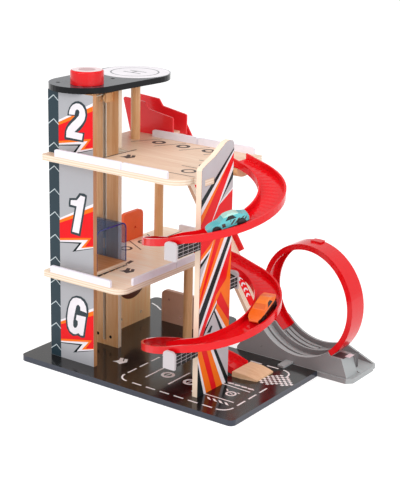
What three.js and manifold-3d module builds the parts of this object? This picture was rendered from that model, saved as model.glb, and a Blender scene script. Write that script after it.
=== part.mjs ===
// Toy parking garage of painted plywood: a tower with a hand-cranked lift, two parking floors,
// a two-turn spiral ramp, a steep launch ramp and a loop track, with two toy cars.
// Millimetres, +Z up. Origin: centre of the underside of the base board.
// +X runs along the front edge to the right, +Y runs from the front to the back.
import * as THREE from "three";
import { mergeVertices } from "three/addons/utils/BufferGeometryUtils.js";
import Module from "manifold-3d";

const wasm = await Module();
wasm.setup();

// Clearances and smoothness
const GAP = 0.3;
const OVERRUN = 20;
const ARC_STEPS = 6;
const ROUND_SIDES = 24;
const HOLE_SIDES = 12;
const WELD = 1e-4;
const TURN = 360;

// Boards and storeys
const BOARD = 9;
const PANEL = 8;
const GROUND_CLEAR = 135;
const LEVEL_1_CLEAR = 174;
const LEVEL_2_CLEAR = 96;

// Base board, measured from its front left corner
const BASE_WIDTH = 403;
const BASE_DEPTH = 350;
const BASE_CORNER = 9;
const NOTCH_LEFT = 182;
const NOTCH_FRONT = 233;
const NOTCH_CORNER = 18;

// Lift tower
const TOWER_LEFT = 36;
const TOWER_FRONT = 32;
const TOWER_WIDTH = 87;
const SHAFT_LEFT = 51;
const SHAFT_DEPTH = 75;
const REAR_WALL_RIGHT = 103;
const SLOT_WIDTH = 6;
const SLOT_CENTRE = 75;
const SLOT_MARGIN = 8;
const SLOT_TOP_MARGIN = 23;

// Parking floors
const FLOOR_LEFT = 37;
const FLOOR_FRONT = 14;
const FLOOR_CORNER = 4;
const LEVEL_1_RIGHT = 191;
const LEVEL_1_BACK = 322;
const LEVEL_1_ROUND = 19;
const LEVEL_2_RIGHT = 297;
const LEVEL_2_BACK = 222;
const LEVEL_2_ROUND = 30;
const DECK_RIGHT = 109;
const DECK_BACK = 290;
const TENON_FRONT = 44;
const TENON_BACK = 66;

// Guard rails: ends of each rail along its edge of the floor
const RAIL_HEIGHT = 11;
const RAIL_THICKNESS = 4;
const RAIL_ROUND = 3;
const RAIL_2_FRONT_LEFT = [63, 189];
const RAIL_2_FRONT_RIGHT = [190, 272];
const RAIL_2_BACK_LEFT = [90, 177];
const RAIL_2_BACK_RIGHT = [178, 283];
const RAIL_1_FRONT = [52, 170];
const RAIL_1_RIGHT_FRONT = [43, 151];
const RAIL_1_RIGHT_BACK = [152, 205];
const RAIL_1_BACK = [72, 109];

// Posts
const POST_DIAMETER = 15;
const ROOF_POST_PLACE = [79, 188];
const LEVEL_2_POST_PLACE = [71, 262];
const LEVEL_1_POST_PLACE = [165, 219];

// Roof, knob and cord drive
const ROOF_FRONT_RADIUS = 52;
const ROOF_BACK_RADIUS = 58;
const ROOF_FRONT_CENTRE = [71, 72];
const ROOF_BACK_CENTRE = [75, 187];
const ROOF_STEPS = 20;
const KNOB_CENTRE = [85, 64];
const KNOB_DIAMETER = 50;
const KNOB_HEIGHT = 21;
const KNOB_EDGE = 3;
const KNOB_BORE_DEPTH = 12;
const SPINDLE_DIAMETER = 8;
const SPOOL_CORE = 12;
const SPOOL_RIM = 24;
const SPOOL_HEIGHT = 18;
const SPOOL_FLANGE = 3;
const CORD_DIAMETER = 1.6;
const CORD_SIDES = 8;
const CORD_TURNS = 3;
const CORD_PITCH = 2.4;
const CORD_TURN_STEPS = 16;
const PULLEY_CORE = 8;
const PULLEY_RIM = 14;
const PULLEY_WIDTH = 10;
const PULLEY_GROOVE = 7;
const PULLEY_WAIST = 3;
const PULLEY_FROM_WALL = 13;
const PULLEY_BELOW_ROOF = 17;
const PULLEY_PIN = 3;
const FORK_EAR = 1.5;
const FORK_HEIGHT = 14;

// Lift car
const CAR_FLOOR_LEFT = 58;
const CAR_FLOOR_RIGHT = 120;
const CAR_FLOOR_THICKNESS = 6;
const CAR_FLOOR_RISE = 1;
const CAR_SIDE_GAP = 1;
const CANOPY_HEIGHT = 64;
const CANOPY_WALL = 2.5;
const CANOPY_ROUND = 11;
const RUNNER_WIDTH = 4;
const RUNNER_HEIGHT = 16;
const RUNNER_RISE = 12;

// Walls of the parking floors
const SIDE_WALL_LEFT = 45;
const SIDE_WALL_FRONT = 125;
const SIDE_WALL_DEPTH = 140;
const SIDE_WINDOW_FRONT = 182;
const SIDE_WINDOW_WIDTH = 57;
const SIDE_WINDOW_FOOT = 46;
const SIDE_WINDOW_HEIGHT = 23;
const PEG_HOLE = 5;
const SIDE_PEG_RISE = 16;
const SIDE_PEG_PLACES = [62, 114];
const LOW_WALL_LEFT = 81;
const LOW_WALL_FRONT = 260;
const LOW_WALL_WIDTH = 74;
const LOW_WALL_HEIGHT = 56;
const LOW_WALL_PEGS = [[15.3, 40.1], [38.7, 15.1]];
const WALL_ROUND = 9;
const UPPER_WALL_FRONT = 203;
const UPPER_WALL_DEPTH = 52;
const UPPER_WALL_HEIGHT = 48;
const UPPER_WALL_THICKNESS = 7;
const UPPER_WALL_PEG = [31, 20];

// Tall wedge panel that carries the spiral
const WEDGE_LEFT = 307;
const WEDGE_FRONT = 36;
const WEDGE_DEPTH = 78;
const WEDGE_ABOVE_LEVEL_2 = 47;
const WEDGE_TOP_SHARES = [
  [0.0, 0.912], [0.02, 0.92], [0.08, 0.926], [0.18, 0.936], [0.39, 0.952], [0.58, 0.976],
  [0.72, 0.993], [0.8, 0.999], [0.88, 1.0], [0.95, 0.997], [0.99, 0.988], [1.0, 0.976],
];

// Spiral ramp: two turns of a long oval channel
const SPIRAL_CENTRE = 82.3;
const SPIRAL_HALF_DEPTH = 75.9;
const SPIRAL_HALF_WIDTH = 69.25;
const SPIRAL_LEFT_TURN = 291.6;
const SPIRAL_RIGHT_TURN = 319.4;
const SPIRAL_START_GAP = 0.6;
const SPIRAL_END = 311;
const SPIRAL_JOINT = 302;
const CHANNEL_WIDTH = 40;
const CHANNEL_WALL = 3;
const CHANNEL_FLOOR = 3;
const CHANNEL_HEIGHT = 11;
const TURN_STEPS = 26;
const ELLIPSE_SAMPLES = 400;

// Wooden rest under the start of the spiral, and run-out at its foot
const REST_FRONT = 137;
const REST_DEPTH = 41;
const REST_WIDTH = 9.7;
const REST_DROP = 18;
const REST_STEPS = 12;
const RUNOUT_LENGTH = 42;
const RUNOUT_HEIGHT = 8;
const RUNOUT_TIP_HEIGHT = 2.5;
const RUNOUT_FLAT = 15;
const RUNOUT_BEND = 25;
const RUNOUT_FRONT = 134;
const RUNOUT_WIDTH = 51;
const RUNOUT_TIP_INSET = 5;

// Brackets between the wedge panel and the spiral
const BRACKET_LEFT = 296;
const BRACKET_WIDTH = 20;
const BRACKET_ARM = 16;
const BRACKET_TIP = -18;
const BRACKET_GRIP = 32;
const BRACKET_BACK_TIP = 134;
const LIP_HEIGHT = 27;
const LIP_BELOW = 4;
const LIP_THICKNESS = 4;
const LIP_ROUND = 6;

// Launcher
const LAUNCH_LEFT = 35;
const LAUNCH_FRONT = 230;
const LAUNCH_WIDTH = 39;
const CHEEK = 3;
const LAUNCH_FLOOR = 4;
const LAUNCH_LENGTH = 86;
const LAUNCH_HEIGHT = 54;
const CHEEK_ROUND = 3;
const CHEEK_SHARES = [
  [0, 0], [-0.174, 1], [0.35, 0.94], [0.44, 0.74], [1, 0.59], [1, 0],
];

// Steep launch ramp
const PLANK_FRONT = 234;
const PLANK_WIDTH = 44;
const PLANK_THICKNESS = 6;
const PLANK_START = 109;
const PLANK_ANGLE = 57.9;
const PLANK_RAIL_HEIGHT = 9;
const PLANK_RAIL_THICKNESS = 4;
const PLANK_RAIL_RUN = 113;
const PLANK_END_GAP = 2;

// Loop track and its cradle, which stands where the launch ramp ends
const PLANK_RUN = 174;
const LOOP_Z = 106.5;
const LOOP_RADIUS = 91.5;
const LOOP_WIDTH = 36;
const LOOP_HEIGHT = 9;
const LOOP_FLOOR = 2.5;
const LOOP_WALL = 2.5;
const LOOP_START_ANGLE = -49;
const LOOP_END_ANGLE = 230;
const LOOP_FRONT_LANE = 256.5;
const LOOP_REAR_LANE = 296.5;
const LOOP_STEPS = 32;
const LOOP_JOINT_ANGLE = 90;
const CLIP_ANGLE = 5.6;
const CLIP_WIDTH = 13.5;
const CLIP_HEIGHT = 2.5;
const CRADLE_FRONT = 234;
const CRADLE_DEPTH = 88;
const CRADLE_LEFT = 113;
const CRADLE_RIGHT = 98;
const CRADLE_FLANGE = 7.7;
const CRADLE_FRONT_CORNER = 9;
const CRADLE_BACK_CORNER = 14;
const CRADLE_WALL = 3;
const CRADLE_WALL_INSET = 3;
const CRADLE_TIP = [112, 12];
const CRADLE_SHOULDER = [78, 58];
const CRADLE_SHOULDER_ROUND = 5;
const CRADLE_RIM = 83.5;
const CRADLE_FRONT_WALL = 8;
const CRADLE_BLOCK_LEFT = 59;
const CRADLE_BLOCK_TOP = 78.5;
const CRADLE_BLOCK_HEIGHT = 37.1;
const CRADLE_BLOCK_ROUND = 3;
const CRADLE_BLOCK_FOOT = 89.5;
const CRADLE_BLOCK_BACK = 270.5;
const CRADLE_FRONT_PEAK = [53, 44];
const CRADLE_REAR_PEAK = [38, 32];
const CRADLE_LUG_LEFT = 71;
const CRADLE_LUG_RIGHT = 86;
const CRADLE_LUG_TOP = 38;
const CRADLE_RIDGE = 2.5;
const CRADLE_FRONT_RIDGES = [[247, 255.5], [260, 266]];
const CRADLE_REAR_RIDGES = [[293.5, 301], [304.5, 311]];
const CRADLE_LANE_START = -147;
const CRADLE_LANE_END = -51;
const CRADLE_EXIT_ANGLE = -88;
const CRADLE_FOOT_CLEAR = 1.5;
const CRADLE_SLOT = [285.5, 290.5];
const CRADLE_SLOT_START = -128;
const CRADLE_SLOT_END = -100;
const CRADLE_SLOT_DEPTH = 8;
const CRADLE_CELLS = 5;
const CRADLE_RIB = 2.5;
const CRADLE_ARC_STEPS = 20;
const CRADLE_SIDES = 96;
const TAB_LEFT = 344;
const TAB_RIGHT = 357;
const TAB_FRONT = 210;
const TAB_THICKNESS = 3;
const TAB_ROUND = 3;

// Toy cars: shares of length and height from the nose for the side, of length and half width for
// the plan, and of half width and height for the end view
const CAR_LENGTH = 62;
const CAR_WIDTH = 24;
const CAR_HEIGHT = 20;
const CAR_CLEARANCE = 2.5;
const CAR_SIDE_SHARES = [
  [0.97, 0.12], [1, 0.28], [0.98, 0.42], [0.88, 0.52], [0.68, 0.62], [0.54, 0.93], [0.44, 1],
  [0.3, 0.98], [0.12, 0.72], [0.02, 0.66], [0, 0.4], [0.02, 0.12],
];
const CAR_PLAN_SHARES = [[0, 0.66], [0.06, 0.84], [0.22, 1], [0.78, 1], [0.93, 0.84], [1, 0.58]];
const CAR_END_SHARES = [[1, 0], [1, 0.5], [0.93, 0.62], [0.66, 0.96], [0.58, 1]];
const ARCH_DIAMETER = 14;
const WHEEL_DIAMETER = 12;
const WHEEL_WIDTH = 3;
const WHEEL_SIDES = 20;
const AXLE_DIAMETER = 2.4;
const AXLE_HOLE = 3.4;
const AXLE_INSET = 13;
const TEAL_CAR_PLACE = 0.757;
const ORANGE_CAR_PLACE = 0.448;
const SEAT_STEP = 0.25;

// Colours
const WOOD = "#e8cfa4";
const DARK_BOARD = "#2f3644";
const SILVER_PANEL = "#bcbcc2";
const RED_PLASTIC = "#e3232a";
const GREY_PLASTIC = "#a3a6a8";
const RAIL_PAINT = "#e6e3f0";
const BLACK = "#17181b";
const BLUE_ACRYLIC = "#3a5fae";
const TEAL_PAINT = "#6fcac6";
const ORANGE_PAINT = "#f8721c";
const RUST_PAINT = "#c9502a";
const MAUVE_PAINT = "#93705c";
const STEEL = "#c4c6c8";
const CORD_COLOUR = "#f2efe6";

// Heights of the surfaces that carry other pieces
const baseTop = BOARD;
const level1Bottom = baseTop + GROUND_CLEAR;
const level1Top = level1Bottom + BOARD;
const level2Bottom = level1Top + LEVEL_1_CLEAR;
const level2Top = level2Bottom + BOARD;
const roofBottom = level2Top + LEVEL_2_CLEAR;
const roofTop = roofBottom + BOARD;

// Plan lines of the lift shaft
const towerRight = TOWER_LEFT + TOWER_WIDTH;
const shaftFront = TOWER_FRONT + PANEL;
const rearWallFront = shaftFront + SHAFT_DEPTH + CAR_SIDE_GAP;
const rearWallBack = rearWallFront + PANEL;

// Centre of the loop along X, set by the length of the launch ramp
const loopX = PLANK_START + PLANK_RUN + PLANK_END_GAP + CRADLE_SHOULDER[0];

// Lanes of the cradle: radius of their floors, and the front and back of each
const laneRadius = LOOP_RADIUS + GAP;
const laneReach = LOOP_WIDTH / 2 + GAP;
const frontLane = [CRADLE_FRONT + CRADLE_WALL_INSET + CRADLE_FRONT_WALL, LOOP_FRONT_LANE + laneReach];
const rearLane = [LOOP_REAR_LANE - laneReach, LOOP_REAR_LANE + laneReach];

const part = new THREE.Group();
part.name = "toy_parking_garage";
part.position.set(-BASE_WIDTH / 2, -BASE_DEPTH / 2, 0);

// A solid body for joining and cutting, made from a closed mesh geometry
function toSolid(geometry) {
  const bare = geometry.clone();
  bare.deleteAttribute("normal");
  bare.deleteAttribute("uv");
  const merged = mergeVertices(bare, WELD);
  return new wasm.Manifold(new wasm.Mesh({
    numProp: 3,
    vertProperties: merged.attributes.position.array,
    triVerts: new Uint32Array(merged.index.array),
  }));
}

// A mesh geometry made from a solid body
function toGeometry(solid) {
  const mesh = solid.getMesh();
  const geometry = new THREE.BufferGeometry();
  geometry.setAttribute("position", new THREE.BufferAttribute(mesh.vertProperties, mesh.numProp));
  geometry.setIndex(new THREE.BufferAttribute(mesh.triVerts, 1));
  return geometry;
}

// One body from several that touch or overlap
function join(...geometries) {
  return toGeometry(geometries.map(toSolid).reduce((whole, piece) => whole.add(piece)));
}

// A body with other bodies cut away from it
function cut(geometry, ...tools) {
  return toGeometry(tools.map(toSolid).reduce((left, tool) => left.subtract(tool), toSolid(geometry)));
}

// The body that several bodies have in common
function common(...geometries) {
  return toGeometry(geometries.map(toSolid).reduce((whole, piece) => whole.intersect(piece)));
}

// Adds one named piece to the toy
function add(name, geometry, colour, roughness, metalness = 0, parent = part) {
  const material = new THREE.MeshStandardMaterial({ color: colour, roughness, metalness });
  const mesh = new THREE.Mesh(geometry, material);
  mesh.name = name;
  parent.add(mesh);
  return mesh;
}

// A closed outline from corners of [x, y, radius], with each radius rounded off
function outline(corners) {
  const points = [];
  corners.forEach(([x, y, radius = 0], i) => {
    const here = new THREE.Vector2(x, y);
    const before = new THREE.Vector2(...corners.at(i - 1).slice(0, 2)).sub(here).normalize();
    const after = new THREE.Vector2(...corners[(i + 1) % corners.length].slice(0, 2)).sub(here).normalize();
    if (radius <= 0) {
      points.push(here);
      return;
    }
    const half = Math.acos(THREE.MathUtils.clamp(before.dot(after), -1, 1)) / 2;
    const centre = before.clone().add(after).normalize().multiplyScalar(radius / Math.sin(half)).add(here);
    const from = before.clone().multiplyScalar(radius / Math.tan(half)).add(here).sub(centre).angle();
    const to = after.clone().multiplyScalar(radius / Math.tan(half)).add(here).sub(centre).angle();
    const turn = Math.atan2(Math.sin(to - from), Math.cos(to - from));
    for (let step = 0; step <= ARC_STEPS; step += 1) {
      const angle = from + turn * step / ARC_STEPS;
      points.push(new THREE.Vector2(Math.cos(angle), Math.sin(angle)).multiplyScalar(radius).add(centre));
    }
  });
  return new THREE.Shape(points);
}

// Corners of a rectangle, all with the same rounding
function rectangle(left, front, right, back, radius = 0) {
  return [[left, front, radius], [right, front, radius], [right, back, radius], [left, back, radius]];
}

// A flat board from a plan outline, standing on height z
function board(shape, z, thickness) {
  const geometry = new THREE.ExtrudeGeometry(shape, { depth: thickness, bevelEnabled: false });
  return geometry.translate(0, 0, z);
}

// An upright board from an outline in X and Z, from y towards the back
function frontBoard(shape, y, thickness) {
  const geometry = new THREE.ExtrudeGeometry(shape, { depth: thickness, bevelEnabled: false });
  return geometry.rotateX(Math.PI / 2).translate(0, y + thickness, 0);
}

// An upright board from an outline in Y and Z, from x to the right
function sideBoard(shape, x, thickness) {
  const geometry = new THREE.ExtrudeGeometry(shape, { depth: thickness, bevelEnabled: false });
  return geometry.rotateX(Math.PI / 2).rotateZ(Math.PI / 2).translate(x, 0, 0);
}

// A box between two corners
function box(left, front, bottom, right, back, top) {
  const geometry = new THREE.BoxGeometry(right - left, back - front, top - bottom);
  return geometry.translate((left + right) / 2, (front + back) / 2, (bottom + top) / 2);
}

// An upright round bar on the point [x, y] from one height to another
function roundBar([x, y], diameter, bottom, top, sides = ROUND_SIDES) {
  const geometry = new THREE.CylinderGeometry(diameter / 2, diameter / 2, top - bottom, sides);
  return geometry.rotateX(Math.PI / 2).translate(x, y, (bottom + top) / 2);
}

// A round bar along X, centred on a point
function crossBar(length, diameter, [x, y, z], sides = ROUND_SIDES) {
  const geometry = new THREE.CylinderGeometry(diameter / 2, diameter / 2, length, sides);
  return geometry.rotateZ(Math.PI / 2).translate(x, y, z);
}

// A round bar along Y, centred on a point
function deepBar(length, diameter, [x, y, z], sides = ROUND_SIDES) {
  return new THREE.CylinderGeometry(diameter / 2, diameter / 2, length, sides).translate(x, y, z);
}

// Outline points given as shares of a width and a height
function shareOutline(shares, x, y, width, height) {
  return new THREE.Shape(shares.map(([u, v]) => new THREE.Vector2(x + u * width, y + v * height)));
}

// Base board: a rectangle with its back right corner cut away round the loop cradle
function addBase() {
  const corners = [
    [0, 0, BASE_CORNER],
    [BASE_WIDTH, 0, BASE_CORNER],
    [BASE_WIDTH, NOTCH_FRONT, 0],
    [NOTCH_LEFT, NOTCH_FRONT, 0],
    [NOTCH_LEFT, BASE_DEPTH, NOTCH_CORNER],
    [0, BASE_DEPTH, BASE_CORNER],
  ];
  add("base_board", board(outline(corners), 0, BOARD), DARK_BOARD, 0.4);
}

// Front panels of the tower, one per storey
function addTowerPanels() {
  const storeys = [
    ["tower_panel_ground", baseTop, level1Bottom],
    ["tower_panel_level_1", level1Top, level2Bottom],
    ["tower_panel_level_2", level2Top, roofBottom],
  ];
  for (const [name, bottom, top] of storeys) {
    add(name, box(TOWER_LEFT, TOWER_FRONT, bottom, towerRight, shaftFront, top), SILVER_PANEL, 0.45);
  }
}

// Rear wall of the shaft, with the long slot that guides the lift
function addRearWall() {
  const wall = box(SHAFT_LEFT + GAP, rearWallFront, baseTop, REAR_WALL_RIGHT, rearWallBack, roofBottom);
  const slotTop = roofBottom - SLOT_TOP_MARGIN;
  const slotShape = outline(rectangle(
    SLOT_CENTRE - SLOT_WIDTH / 2, baseTop + SLOT_MARGIN,
    SLOT_CENTRE + SLOT_WIDTH / 2, slotTop, SLOT_WIDTH / 2 - GAP,
  ));
  const slot = frontBoard(slotShape, rearWallFront - OVERRUN, PANEL + 2 * OVERRUN);
  add("lift_rear_wall", cut(wall, slot), WOOD, 0.6);
}

// Opening in a floor for the lift and for the rear wall that stands in it
function shaftOpening(bottom) {
  const corners = [
    [SHAFT_LEFT, shaftFront + GAP], [towerRight, shaftFront + GAP], [towerRight, rearWallFront],
    [REAR_WALL_RIGHT + GAP, rearWallFront], [REAR_WALL_RIGHT + GAP, rearWallBack + GAP],
    [SHAFT_LEFT, rearWallBack + GAP],
  ];
  return board(outline(corners), bottom - OVERRUN, BOARD + 2 * OVERRUN);
}

// First parking floor
function addLevel1() {
  const corners = [
    [FLOOR_LEFT, FLOOR_FRONT, FLOOR_CORNER],
    [LEVEL_1_RIGHT, FLOOR_FRONT, LEVEL_1_ROUND],
    [LEVEL_1_RIGHT, LEVEL_1_BACK, LEVEL_1_ROUND],
    [FLOOR_LEFT, LEVEL_1_BACK, FLOOR_CORNER],
  ];
  const floor = board(outline(corners), level1Bottom, BOARD);
  add("level_1_board", cut(floor, shaftOpening(level1Bottom)), WOOD, 0.5);
}

// Second parking floor, with the launch deck at the back and a tenon through the wedge panel
function addLevel2() {
  const corners = [
    [FLOOR_LEFT, FLOOR_FRONT, FLOOR_CORNER],
    [LEVEL_2_RIGHT, FLOOR_FRONT, LEVEL_2_ROUND],
    [LEVEL_2_RIGHT, LEVEL_2_BACK, FLOOR_CORNER],
    [DECK_RIGHT, LEVEL_2_BACK, 0],
    [DECK_RIGHT, DECK_BACK, FLOOR_CORNER],
    [FLOOR_LEFT, DECK_BACK, FLOOR_CORNER],
  ];
  const floor = board(outline(corners), level2Bottom, BOARD);
  const tenon = box(
    LEVEL_2_RIGHT - OVERRUN, TENON_FRONT, level2Bottom, WEDGE_LEFT + BOARD, TENON_BACK, level2Top,
  );
  add("level_2_board", cut(join(floor, tenon), shaftOpening(level2Bottom)), WOOD, 0.5);
}

// Low guard rail along X on a floor
function addFrontRail(name, [left, right], y, z) {
  const corners = [
    [left, z], [right, z], [right, z + RAIL_HEIGHT, RAIL_ROUND], [left, z + RAIL_HEIGHT, RAIL_ROUND],
  ];
  add(name, frontBoard(outline(corners), y, RAIL_THICKNESS), RAIL_PAINT, 0.45);
}

// Low guard rail along Y on a floor
function addSideRail(name, [front, back], x, z) {
  const corners = [
    [front, z], [back, z], [back, z + RAIL_HEIGHT, RAIL_ROUND], [front, z + RAIL_HEIGHT, RAIL_ROUND],
  ];
  add(name, sideBoard(outline(corners), x, RAIL_THICKNESS), RAIL_PAINT, 0.45);
}

// All guard rails
function addRails() {
  const front = FLOOR_FRONT + GAP;
  const level2Back = LEVEL_2_BACK - RAIL_THICKNESS - GAP;
  const level1Back = LEVEL_1_BACK - RAIL_THICKNESS - GAP;
  const level1Right = LEVEL_1_RIGHT - RAIL_THICKNESS - GAP;
  addFrontRail("rail_level_2_front_left", RAIL_2_FRONT_LEFT, front, level2Top);
  addFrontRail("rail_level_2_front_right", RAIL_2_FRONT_RIGHT, front, level2Top);
  addFrontRail("rail_level_2_back_left", RAIL_2_BACK_LEFT, level2Back, level2Top);
  addFrontRail("rail_level_2_back_right", RAIL_2_BACK_RIGHT, level2Back, level2Top);
  addFrontRail("rail_level_1_front", RAIL_1_FRONT, front, level1Top);
  addFrontRail("rail_level_1_back", RAIL_1_BACK, level1Back, level1Top);
  addSideRail("rail_level_1_right_front", RAIL_1_RIGHT_FRONT, level1Right, level1Top);
  addSideRail("rail_level_1_right_back", RAIL_1_RIGHT_BACK, level1Right, level1Top);
}

// Round wooden posts between the floors
function addPosts() {
  const posts = [
    ["post_roof", ROOF_POST_PLACE, level2Top, roofBottom],
    ["post_level_2", LEVEL_2_POST_PLACE, level1Top, level2Bottom],
    ["post_level_1", LEVEL_1_POST_PLACE, baseTop, level1Bottom],
  ];
  for (const [name, place, bottom, top] of posts) {
    add(name, roundBar(place, POST_DIAMETER, bottom, top), WOOD, 0.55);
  }
}

// Roof: the hull of two circles
function roofOutline() {
  const [fx, fy] = ROOF_FRONT_CENTRE;
  const [bx, by] = ROOF_BACK_CENTRE;
  const axis = Math.atan2(by - fy, bx - fx);
  const lean = Math.asin((ROOF_BACK_RADIUS - ROOF_FRONT_RADIUS) / Math.hypot(bx - fx, by - fy));
  const points = [];
  for (let step = 0; step <= ROOF_STEPS; step += 1) {
    const angle = axis + Math.PI / 2 + lean + (Math.PI - 2 * lean) * step / ROOF_STEPS;
    points.push(new THREE.Vector2(fx, fy).add(
      new THREE.Vector2(Math.cos(angle), Math.sin(angle)).multiplyScalar(ROOF_FRONT_RADIUS),
    ));
  }
  for (let step = 0; step <= ROOF_STEPS; step += 1) {
    const angle = axis - Math.PI / 2 - lean + (Math.PI + 2 * lean) * step / ROOF_STEPS;
    points.push(new THREE.Vector2(bx, by).add(
      new THREE.Vector2(Math.cos(angle), Math.sin(angle)).multiplyScalar(ROOF_BACK_RADIUS),
    ));
  }
  return new THREE.Shape(points);
}

// Roof board with the bore of the knob's spindle
function addRoof() {
  const bore = roundBar(KNOB_CENTRE, SPINDLE_DIAMETER + 2 * GAP, roofBottom - OVERRUN, roofTop + OVERRUN);
  add("roof_board", cut(board(roofOutline(), roofBottom, BOARD), bore), DARK_BOARD, 0.4);
}

// Red knob, and the spindle with its spool under the roof
function addKnob() {
  const radius = KNOB_DIAMETER / 2;
  const bore = SPINDLE_DIAMETER / 2;
  const profile = [[0, KNOB_BORE_DEPTH], [bore, KNOB_BORE_DEPTH], [bore, 0], [radius, 0]];
  for (let step = 0; step <= ARC_STEPS; step += 1) {
    const angle = Math.PI / 2 * step / ARC_STEPS;
    profile.push([
      radius - KNOB_EDGE + KNOB_EDGE * Math.cos(angle),
      KNOB_HEIGHT - KNOB_EDGE + KNOB_EDGE * Math.sin(angle),
    ]);
  }
  profile.push([0, KNOB_HEIGHT]);
  const points = profile.map(([r, z]) => new THREE.Vector2(r, z));
  const knob = new THREE.LatheGeometry(points, 2 * ROUND_SIDES).rotateX(Math.PI / 2);
  knob.translate(...KNOB_CENTRE, roofTop + GAP);
  add("knob", knob, RED_PLASTIC, 0.35);

  const rim = SPOOL_RIM / 2;
  const core = SPOOL_CORE / 2;
  const spool = [
    [0, -SPOOL_HEIGHT], [rim, -SPOOL_HEIGHT], [rim, SPOOL_FLANGE - SPOOL_HEIGHT],
    [core, SPOOL_FLANGE - SPOOL_HEIGHT], [core, -SPOOL_FLANGE], [rim, -SPOOL_FLANGE], [rim, 0],
    [bore, 0], [bore, BOARD + 2 * GAP + KNOB_BORE_DEPTH], [0, BOARD + 2 * GAP + KNOB_BORE_DEPTH],
  ].map(([r, z]) => new THREE.Vector2(r, z));
  const spindle = new THREE.LatheGeometry(spool, ROUND_SIDES).rotateX(Math.PI / 2);
  add("knob_spindle", spindle.translate(...KNOB_CENTRE, roofBottom - GAP), WOOD, 0.6);
}

// Guide bobbin under the roof on its pin, held by a small fork on the rear wall
function addPulley() {
  const x = KNOB_CENTRE[0];
  const y = rearWallFront - PULLEY_FROM_WALL;
  const z = roofBottom - PULLEY_BELOW_ROOF;
  const half = PULLEY_WIDTH / 2;
  const core = PULLEY_CORE / 2;
  const rim = PULLEY_RIM / 2;
  const bore = PULLEY_PIN / 2 + GAP;
  const profile = [
    [bore, -half], [rim, -half], [rim, -PULLEY_GROOVE / 2], [core, -PULLEY_WAIST / 2],
    [core, PULLEY_WAIST / 2], [rim, PULLEY_GROOVE / 2], [rim, half], [bore, half], [bore, -half],
  ].map(([r, u]) => new THREE.Vector2(r, u));
  const bobbin = new THREE.LatheGeometry(profile, ROUND_SIDES).rotateZ(Math.PI / 2);
  add("guide_bobbin", bobbin.translate(x, y, z), WOOD, 0.6);

  const ear = half + GAP;
  const ears = box(
    x - ear - FORK_EAR, y - core, z - FORK_HEIGHT / 2,
    x + ear + FORK_EAR, rearWallFront, z + FORK_HEIGHT / 2,
  );
  const mouth = box(
    x - ear, y - core - OVERRUN, z - FORK_HEIGHT, x + ear, rearWallFront - FORK_EAR, z + FORK_HEIGHT,
  );
  const pin = crossBar(2 * ear + FORK_EAR, PULLEY_PIN, [x, y, z]);
  add("bobbin_fork", join(cut(ears, mouth), pin), STEEL, 0.35, 1);
}

// Route of the cord: turns on the spool, a straight run and a quarter turn over the bobbin
function cordRoute() {
  const [x, y] = KNOB_CENTRE;
  const pulleyY = rearWallFront - PULLEY_FROM_WALL;
  const pulleyZ = roofBottom - PULLEY_BELOW_ROOF;
  const turn = (PULLEY_CORE + CORD_DIAMETER) / 2 + GAP;
  const wrap = (SPOOL_CORE + CORD_DIAMETER) / 2 + GAP;
  const leave = pulleyZ + turn;
  const points = [];
  for (let step = CORD_TURNS * CORD_TURN_STEPS; step > 0; step -= 1) {
    const angle = -2 * Math.PI * step / CORD_TURN_STEPS;
    points.push(new THREE.Vector3(
      x + wrap * Math.cos(angle), y + wrap * Math.sin(angle), leave + CORD_PITCH * step / CORD_TURN_STEPS,
    ));
  }
  points.push(new THREE.Vector3(x + wrap, y, leave));
  for (let step = 0; step <= ARC_STEPS; step += 1) {
    const angle = Math.PI / 2 * (1 - step / ARC_STEPS);
    points.push(new THREE.Vector3(
      x, pulleyY + Math.cos(angle) * turn, pulleyZ + Math.sin(angle) * turn,
    ));
  }
  return points;
}

// Least gap between the turns of the cord on the spool, measured on the points of its route
function leastTurnGap(points) {
  let least = Infinity;
  for (let i = 0; i < CORD_TURNS * CORD_TURN_STEPS; i += 1) {
    for (let j = i + CORD_TURN_STEPS / 2; j < points.length; j += 1) {
      least = Math.min(least, points[i].distanceTo(points[j]) - CORD_DIAMETER);
    }
  }
  return least;
}

// Pull cord: from the spool over the bobbin, then down to the canopy
function addCord() {
  const points = cordRoute();
  console.log("least gap of the cord to itself: " + leastTurnGap(points).toFixed(2) + " mm");
  const path = new THREE.CurvePath();
  points.slice(1).forEach((point, i) => path.add(new THREE.LineCurve3(points[i], point)));
  const section = new THREE.Shape();
  section.absarc(0, 0, CORD_DIAMETER / 2, 0, 2 * Math.PI);
  const feed = new THREE.ExtrudeGeometry(section, {
    steps: 2 * points.length, extrudePath: path, bevelEnabled: false, curveSegments: CORD_SIDES / 2,
  });
  add("cord_feed", feed, CORD_COLOUR, 0.8);
  const end = points.at(-1);
  const canopyTop = level1Top + CAR_FLOOR_RISE + CAR_FLOOR_THICKNESS + CANOPY_HEIGHT;
  const drop = roundBar([end.x, end.y], CORD_DIAMETER, canopyTop, end.z - GAP, CORD_SIDES);
  add("cord_drop", drop, CORD_COLOUR, 0.8);
}

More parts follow.
